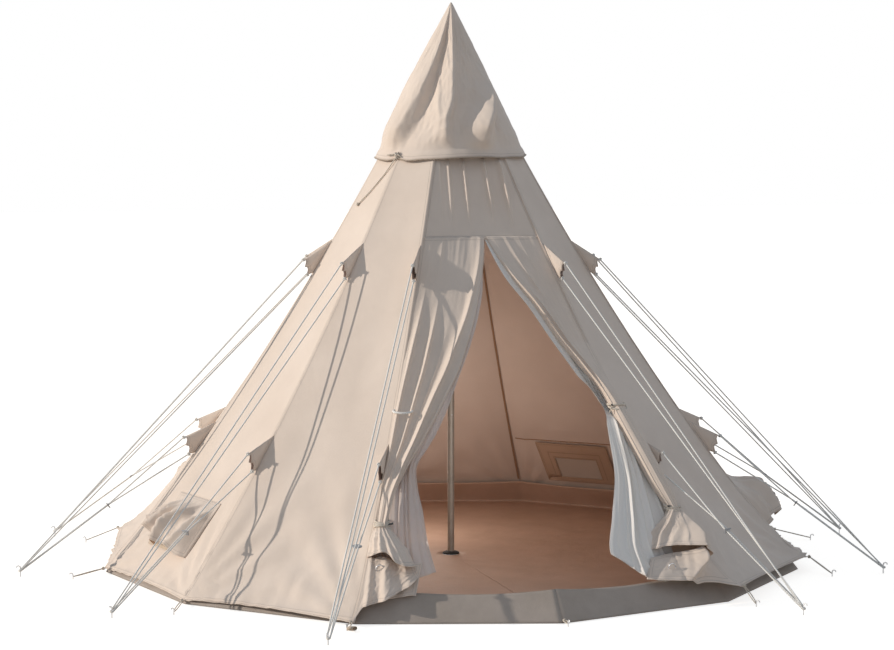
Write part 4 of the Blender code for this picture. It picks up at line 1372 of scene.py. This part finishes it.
def make_ties():
    """Cords and toggles that hold the curtains back."""
    rings, toggles, ends = [], [], []
    ties = [(LEFT_CURTAIN, *tie) for tie in LEFT_TIES] + [(RIGHT_CURTAIN, *tie) for tie in RIGHT_TIES]
    for curtain, height, radius, barred in ties:
        start, across, facing, width = door_axes(curtain["side"], height)
        lateral = keyed(curtain["gather"], height) * width / 2
        centre = start + across * lateral + facing * keyed(curtain["lead"], height)
        tilted = (facing + UP * (0.25 * math.sin(height * 90))).normalized()
        rings.append(ring_route(centre + facing * 0.004, across, tilted, radius, 1.02))
        if not barred:
            continue
        bar = centre + (across * 0.80 + facing * 0.60) * (radius + 0.006)
        along = Vector((1, 0, 0.2 * curtain["side"]))
        toggles.append([bar - along * 0.006, bar + along * 0.024])
        for drop, lean in ((0.05, 0.012), (0.04, -0.010)):
            middle = bar + Vector((lean, -0.006, -drop / 2))
            ends.append([bar, middle, bar + Vector((lean * 1.5, -0.002, -drop))])
    tubes_piece("door_tie_cords", rings, TIE_CORD, cord_cream, closed=True)
    tubes_piece("door_tie_ends", ends, TIE_END, cord_cream)
    tubes_piece("door_tie_toggles", toggles, TOGGLE, toggle_black)


def make_loop_cord():
    """The loop of cord over the left curtain's first folds."""
    start, across, facing, width = door_axes(1, 0.975)
    loop = []
    for angle in turns(28):
        forward = facing * (0.016 + 0.034 * math.sin(angle)) - UP * 0.006 * math.sin(angle)
        loop.append(start + across * (0.045 - 0.050 * math.cos(angle)) + forward)
    tubes_piece("door_loop_cord", [loop], LOOP_CORD, cord_white, closed=True)


def make_flap_rings(left_rows, right_rows):
    """Metal rings sewn low on each door flap, found by height and by distance from the seam."""
    rings = []
    for rows, height, lateral in ((left_rows, 0.252, 0.076), (right_rows, 0.203, 0.27)):
        reach = [(point, (point - row[0]).xy.length) for row in rows for point in row]
        place = min(reach, key=lambda pair: abs(pair[0].z - height) + abs(pair[1] - lateral))[0]
        rings.append(ring_route(place + FRONT * 0.010, Vector((1, 0, 0)), Vector((0, -0.25, 0.97)), 0.019))
    tubes_piece("flap_rings", rings, RING_WIRE, steel, closed=True)


# Windows

# How far the hem of each hood lifts at one end, as a share
HOOD_LIFTS = (0.62, 0.2, 0.15, 0.1)
# How far a hood stands out in its middle, and how far it reaches past the opening
HOOD_CROWN = 0.085
HOOD_BELLY = 0.022
HOOD_MARGIN = 0.02
# Creases of a hood: how far across at its top and at its hem, from -1 to 1, height and half width
HOOD_CREASES = (
    (-0.95, -0.62, 0.045, 0.08), (-0.50, -0.20, 0.075, 0.08), (-0.10, 0.10, 0.040, 0.05),
    (0.10, 0.38, 0.085, 0.08), (0.48, 0.62, 0.045, 0.05), (0.55, 0.88, 0.070, 0.07),
)
# Rings of points across the bound edge outside: reach beyond the opening, and height above the wall
BORDER_RINGS = ((-0.012, 0.0012), (-0.012, 0.0032), (0.012, 0.0032), (0.012, 0.0012))
# How far behind the wall the frame inside lies
FRAME_DEPTH = 0.0075
# Rings of the frame inside: drop of its centre, and reach beyond the opening to the sides and up
FRAME_RINGS = (
    (0.045, -0.086, -0.066), (0.045, -0.082, -0.062), (0.0, -0.01, -0.01), (0.0, 0.014, 0.014),
    (0.0, 0.018, 0.018),
)


def window_axes(wall):
    """Middle of a window, directions along it, up it and outwards, and its slanting height."""
    low, high = WINDOW_SILL_HEIGHT - 0.04, WINDOW_HEAD_HEIGHT + 0.04
    lower = (seam_point(wall, low) + seam_point(wall + 1, low)) / 2
    upper = (seam_point(wall, high) + seam_point(wall + 1, high)) / 2
    up = (upper - lower).normalized()
    along = tangent(wall + 0.5)
    out = along.cross(up)
    if out.dot(radial(wall + 0.5)) < 0:
        out.negate()
    share = ((WINDOW_SILL_HEIGHT + WINDOW_HEAD_HEIGHT) / 2 - low) / (high - low)
    rise = (WINDOW_HEAD_HEIGHT - WINDOW_SILL_HEIGHT) / up.z
    return lower + (upper - lower) * share, along, up, out, rise


def hood_crease(number, side, down):
    """Creases of the loose cloth: small ones all over it and the long ones of the table."""
    crease = 0.020 * wobble(side * 2.6 + number * 5, down * 2.9, 1.7)
    crease += 0.006 * wobble(side * 12, down * 9, number)
    crease += 0.030 * ridge(0.22, side * 5 + number, down * 2.4 - side, 2.9)
    for high, low, tall, spread in HOOD_CREASES:
        place = high + (low - high) * down + 0.12 * wobble(down * 3, high * 7, number)
        crease += tall * smooth_step((down - 0.05) / 0.45) * crest(side - place, spread)
    return crease


def make_hood(number, wall):
    """A loose hood sewn on above the window, bulging out over it, with a turned hem that lifts at one end."""
    middle, along, up, out, rise = window_axes(wall)

    def place(down, u):
        side = 2 * u - 1
        crown = HOOD_CROWN * math.sin(math.pi / 2 * min(1.0, down * 1.1)) ** 1.25
        crown += HOOD_BELLY * math.sin(math.pi * down)
        bulge = 1 - abs(side + 0.15) ** 2.2 if side < -0.15 else 1 - (abs(side + 0.15) / 1.3) ** 1.6
        edge = max(0.0, bulge) * min(1.0, (1 - abs(side)) * 8)
        crease = hood_crease(number, side, down) * edge * smooth_step(down * 3)
        raised = HOOD_LIFTS[number - 1] * smooth_step((side + 0.1) / 1.1) * down**2
        lift = max(crown * edge + 0.003 + crease, 0.003) + 0.12 * raised * smooth_step((1 - abs(side)) * 5)
        drop = (rise + 2 * HOOD_MARGIN) * (down - 0.55 * raised)
        drop += 0.012 * math.cos(side * 9 + number) * smooth_step((down - 0.7) / 0.3)
        across = along * side * (WINDOW_WIDTH / 2 + HOOD_MARGIN)
        return middle + up * (rise / 2 + HOOD_MARGIN - drop) + across + out * lift

    rows = grid_rows(48, 64, place)
    piece = grid_object(f"window_cover_{number}", rows, (canvas, shaded_bell_lining), out)
    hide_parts(f"window_hood_{number}")
    declare_cloth(piece, rows, body=f"window_hood_{number}")


def framed_ring(middle, along, up, x, y):
    """Points round a rectangle, eight to a side."""
    corners = ((-x, -y), (x, -y), (x, y), (-x, y), (-x, -y))
    ring = []
    for (x1, y1), (x2, y2) in zip(corners, corners[1:]):
        ring += [middle + along * (x1 + (x2 - x1) * i / 8) + up * (y1 + (y2 - y1) * i / 8) for i in range(8)]
    return ring + [ring[0].copy()]


def make_window_border(number, wall):
    """The bound edge round the window outside, and inside the brown frame that holds the net."""
    middle, along, up, out, rise = window_axes(wall)
    x, y = WINDOW_WIDTH / 2, rise / 2
    rows = [framed_ring(middle + out * lift, along, up, x + reach, y + reach) for reach, lift in BORDER_RINGS]
    piece = grid_object(f"window_border_{number}", rows, (webbing, webbing), out, BINDING)
    fit(piece)
    back = middle - out * FRAME_DEPTH
    rows = [framed_ring(back - up * low, along, up, x + wide, y + high) for low, wide, high in FRAME_RINGS]
    piece = grid_object(f"window_frame_{number}", rows, (frame_cloth, frame_cloth), -out, FRAME_BINDING)
    fit(piece)


def make_inside_seams():
    """Dark binding over the seams inside, and the seam across each window wall."""
    routes = []
    for corner in range(1, SIDES):
        low, top, shifts = 0.17, 2.8, (0.0, 0.006)
        if corner in (1, SIDES - 1):
            top, shifts = 1.8, (0.0,)
        heights = [low + (top - low) * i / 40 for i in range(41)]
        for shift in shifts:
            inward = tangent(corner) * shift - radial(corner) * 0.0095
            routes.append([seam_point(corner, height) + inward for height in heights])
    for wall in WINDOW_WALLS:
        routes.append([wall_point_at(wall + i / 24, 0.468, -0.0035) for i in range(1, 24)])
    tubes_piece("inside_seams", routes, SEAM_BINDING, seam_cloth)


# Groundsheet

SHEET_COLUMNS = 36
FLOOR_ROWS = 40
SHEET_WALL_ROWS = 12
SHEET_INSET = 0.012
SHEET_FLOOR_HEIGHT = 0.0035


def floor_point(share, corner, part):
    """A place on the floor: share of the way out from the middle, part of the way from corner to corner."""
    reach = HEM_RADIUS - SHEET_INSET - 0.004
    place = radial(corner).lerp(radial(corner + 1), part) * reach * share
    ripple = 0.0035 * wobble(place.x * 2.4, place.y * 2.4, 1.1) + 0.002 * wobble(place.x * 9, place.y * 9)
    place.z = SHEET_FLOOR_HEIGHT + max(-0.002, ripple * 1.2 * min(1.0, (1 - share) * 12))
    return place


def raised_edge_point(share, corner, part):
    """A place on the raised wall of the sheet, which slumps between the corners, most at the front."""
    flat = 1 - (2 * part - 1) ** 2
    front = bell((corner + part + 6) % SIDES - 6, 1.0)
    height = SHEET_WALL_HEIGHT * share * (1 - 0.12 * flat * (0.6 + front)) + 0.002
    reach = wall_radius(height) - SHEET_INSET
    sag = 0.006 * wobble((corner + part) * 5, share * 2, 2.2) * flat - 0.012 * flat * share * (0.5 + front)
    place = (radial(corner) * reach).lerp(radial(corner + 1) * reach, part) + radial(corner + 0.5) * sag
    place.z = height
    return place


def make_groundsheet():
    """Brown inside and grey-brown outside, with raised walls that slump a little between the corners."""
    rows = []
    for point, count in ((floor_point, FLOOR_ROWS), (raised_edge_point, SHEET_WALL_ROWS)):
        for step in range(1, count + 1):
            places = [(corner, i / SHEET_COLUMNS) for corner in range(SIDES) for i in range(SHEET_COLUMNS)]
            row = [point(step / count, corner, part) for corner, part in places]
            rows.append(row + [row[0].copy()])
    piece = grid_object("ground_cloth", rows, (sheet_inside, sheet_outside), UP, SHEETING)
    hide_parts("groundsheet")
    declare_cloth(piece, rows)


# Hem fittings

def make_hem_loops():
    """Cord loops and wire pegs at the corners of the hem."""
    cords, pegs, knots = [], [], []
    for corner in range(SIDES):
        out, up = HEM_PULLS.get(corner, (0.0, 0.0))
        hem = radial(corner) * (HEM_RADIUS - 0.002 + out * 0.85) + UP * (0.022 + up * 0.9)
        lean = -HEM_PEG_LEAN if 0 < corner < SIDES / 2 else HEM_PEG_LEAN
        foot = radial(corner + lean) * HEM_PEG_RADIUS
        if corner in (0, 1, SIDES - 1):
            foot = radial(corner) * (HEM_RADIUS + 0.05 + 1.1 * out)
        loop = []
        for angle in turns(12):
            place = hem.lerp(foot + UP * 0.016, 0.5 - 0.5 * math.cos(angle))
            loop.append(place + tangent(corner) * 0.009 * math.sin(angle))
        cords.append(loop)
        top = foot + UP * 0.026
        route = [foot + UP * 0.0005, top]
        for share in (0.2, 0.4, 0.6, 0.8, 1.0):
            angle = math.pi * share
            route.append(top + radial(corner) * 0.01 * (1 - math.cos(angle)) + UP * (0.01 * math.sin(angle)))
        pegs.append(route)
        knots.append(knot_route(hem, (foot - hem).normalized(), 0.006))
    tubes_piece("hem_loops", cords, 0.0028, cord_cream, closed=True)
    tubes_piece("hem_knots", knots, 0.0026, cord_cream, closed=True)
    tubes_piece("hem_pegs", pegs, PEG_WIRE, steel)


def make_corner_strap():
    """A folded strap of webbing under the left corner of the doorway."""
    out, side = radial(1), tangent(1)
    centre = out * (HEM_RADIUS + 0.15) - side * 0.03 + UP * 0.012
    rows = []
    for i in range(17):
        angle = 2 * math.pi * i / 16
        rise = 0.010 * math.sin(angle) + 0.014 * math.cos(angle / 2) ** 2
        middle = centre + out * 0.045 * math.cos(angle) + UP * rise
        rows.append([middle - side * 0.014, middle + side * 0.014])
    piece = grid_object("corner_strap", rows, (webbing, webbing), UP, STRAP)
    fit(piece)


# Light, floor and camera

def camera_mix(tree, hidden, shown, output):
    """One shader for rays that carry light, another for those that show the picture or reflect it."""
    path = node(tree, "ShaderNodeLightPath")
    seen = math_node(tree, "MAXIMUM", path.outputs["Is Camera Ray"], path.outputs["Is Glossy Ray"])
    mix = node(tree, "ShaderNodeMixShader")
    tree.links.new(math_node(tree, "MAXIMUM", seen, path.outputs["Is Transmission Ray"]), mix.inputs[0])
    tree.links.new(hidden.outputs[0], mix.inputs[1])
    tree.links.new(shown.outputs[0], mix.inputs[2])
    tree.links.new(mix.outputs[0], tree.nodes[output].inputs[0])


def make_world():
    world = bpy.data.worlds.new("studio")
    bpy.context.scene.world = world
    world.use_nodes = True
    tree = world.node_tree
    sky = tree.nodes["Background"]
    set_inputs(sky, {"Color": (*SKY_COLOR, 1), "Strength": SKY_STRENGTH})
    white = node(tree, "ShaderNodeBackground")
    set_inputs(white, {"Color": (1, 1, 1, 1)})
    camera_mix(tree, sky, white, "World Output")


def make_floor():
    """A wide pale floor that takes the shadows."""
    builder = bmesh.new()
    bmesh.ops.create_grid(builder, x_segments=1, y_segments=1, size=FLOOR_SIZE)
    mesh = bpy.data.meshes.new("floor")
    builder.to_mesh(mesh)
    builder.free()
    floor = add_object("floor", mesh)
    floor.location = (0, 0, FLOOR_HEIGHT)
    coat, tree, shader = new_material("floor")
    set_inputs(shader, {"Base Color": (*FLOOR_COLOR, 1), "Roughness": 0.9, "Specular IOR Level": 0.1})
    bright = node(tree, "ShaderNodeEmission")
    set_inputs(bright, {"Color": (1, 1, 1, 1), "Strength": FLOOR_GLOW})
    pale = node(tree, "ShaderNodeAddShader")
    tree.links.new(shader.outputs[0], pale.inputs[0])
    tree.links.new(bright.outputs[0], pale.inputs[1])
    camera_mix(tree, shader, pale, "Material Output")
    mesh.materials.append(coat)


def make_lamp(name, kind, energy, color):
    lamp = bpy.data.lights.new(name, kind)
    lamp.energy = energy
    lamp.color = color
    return lamp, add_object(name, lamp)


def make_lamps():
    azimuth, elevation = math.radians(SUN_AZIMUTH), math.radians(SUN_ELEVATION)
    level = Vector((-math.sin(azimuth), -math.cos(azimuth), 0))
    towards = level * math.cos(elevation) + UP * math.sin(elevation)
    lamp, key = make_lamp("key", "SUN", SUN_STRENGTH, SUN_COLOR)
    lamp.angle = math.radians(SUN_SIZE)
    key.rotation_euler = towards.to_track_quat("Z", "Y").to_euler()
    for name, energy, place in INSIDE_LAMPS:
        lamp, glow = make_lamp(name, "POINT", energy, INSIDE_COLOR)
        lamp.shadow_soft_size = INSIDE_SIZE
        glow.location = place


def make_camera():
    data = bpy.data.cameras.new("camera")
    data.lens = FOCAL_LENGTH
    data.sensor_width = SENSOR_WIDTH
    data.sensor_fit = "HORIZONTAL"
    data.clip_end = 200
    camera = add_object("camera", data)
    camera.location = CAMERA_PLACE
    camera.rotation_euler = (math.radians(CAMERA_PITCH), 0, math.radians(CAMERA_YAW))
    bpy.context.scene.camera = camera


def coat_nodes():
    """Better finishes on the CAD pieces that stay."""
    coats = {
        "pole_section": tube, "pole_button": steel, "pole_foot": rubber, "crown_collar": webbing,
        "guy_peg": steel, "guy_slider": runner, "window_net": window_net,
    }
    for name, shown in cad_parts.items():
        for start, coat in coats.items():
            if name.startswith(start):
                shown.data.materials.clear()
                shown.data.materials.append(coat)


make_camera()
make_world()
make_floor()
make_lamps()
coat_nodes()
make_guys()
for wall in range(1, SIDES - 1):
    make_wall(wall)
make_lintel()
for corner in range(1, SIDES):
    make_tab(corner, UPPER_TAB_HEIGHT, UPPER_TAB_REACH, f"upper_tab_{corner:02d}")
    make_tab(corner, LOWER_TAB_HEIGHT, LOWER_TAB_REACH, f"lower_tab_{corner:02d}")
make_cowl()
make_curtain("left_curtain", "door_flap_left", LEFT_CURTAIN, 0.442)
make_curtain("right_curtain", "door_flap_right", RIGHT_CURTAIN, 0.45)
make_bell("left_curtain_end", "door_flap_left", LEFT_CURTAIN, LEFT_BELL)
make_bell("right_curtain_end", "door_flap_right", RIGHT_CURTAIN, RIGHT_BELL)
left_skirt = make_skirt("left_skirt", "door_flap_left", LEFT_SKIRT)
right_skirt = make_skirt("right_skirt", "door_flap_right", RIGHT_SKIRT)
make_inner_flap()
make_net_curtain("left_net_curtain", "net_door_left", LEFT_NET_CURTAIN, shaded_net)
make_net_curtain("right_net_curtain", "net_door_right", RIGHT_NET_CURTAIN, lit_door_net)
make_loop_cord()
make_ties()
make_flap_rings(left_skirt, right_skirt)
for number, wall in enumerate(WINDOW_WALLS, 1):
    make_hood(number, wall)
    make_window_border(number, wall)
make_inside_seams()
make_groundsheet()
make_hem_loops()
make_corner_strap()
bpy.context.scene.view_settings.view_transform = "Standard"
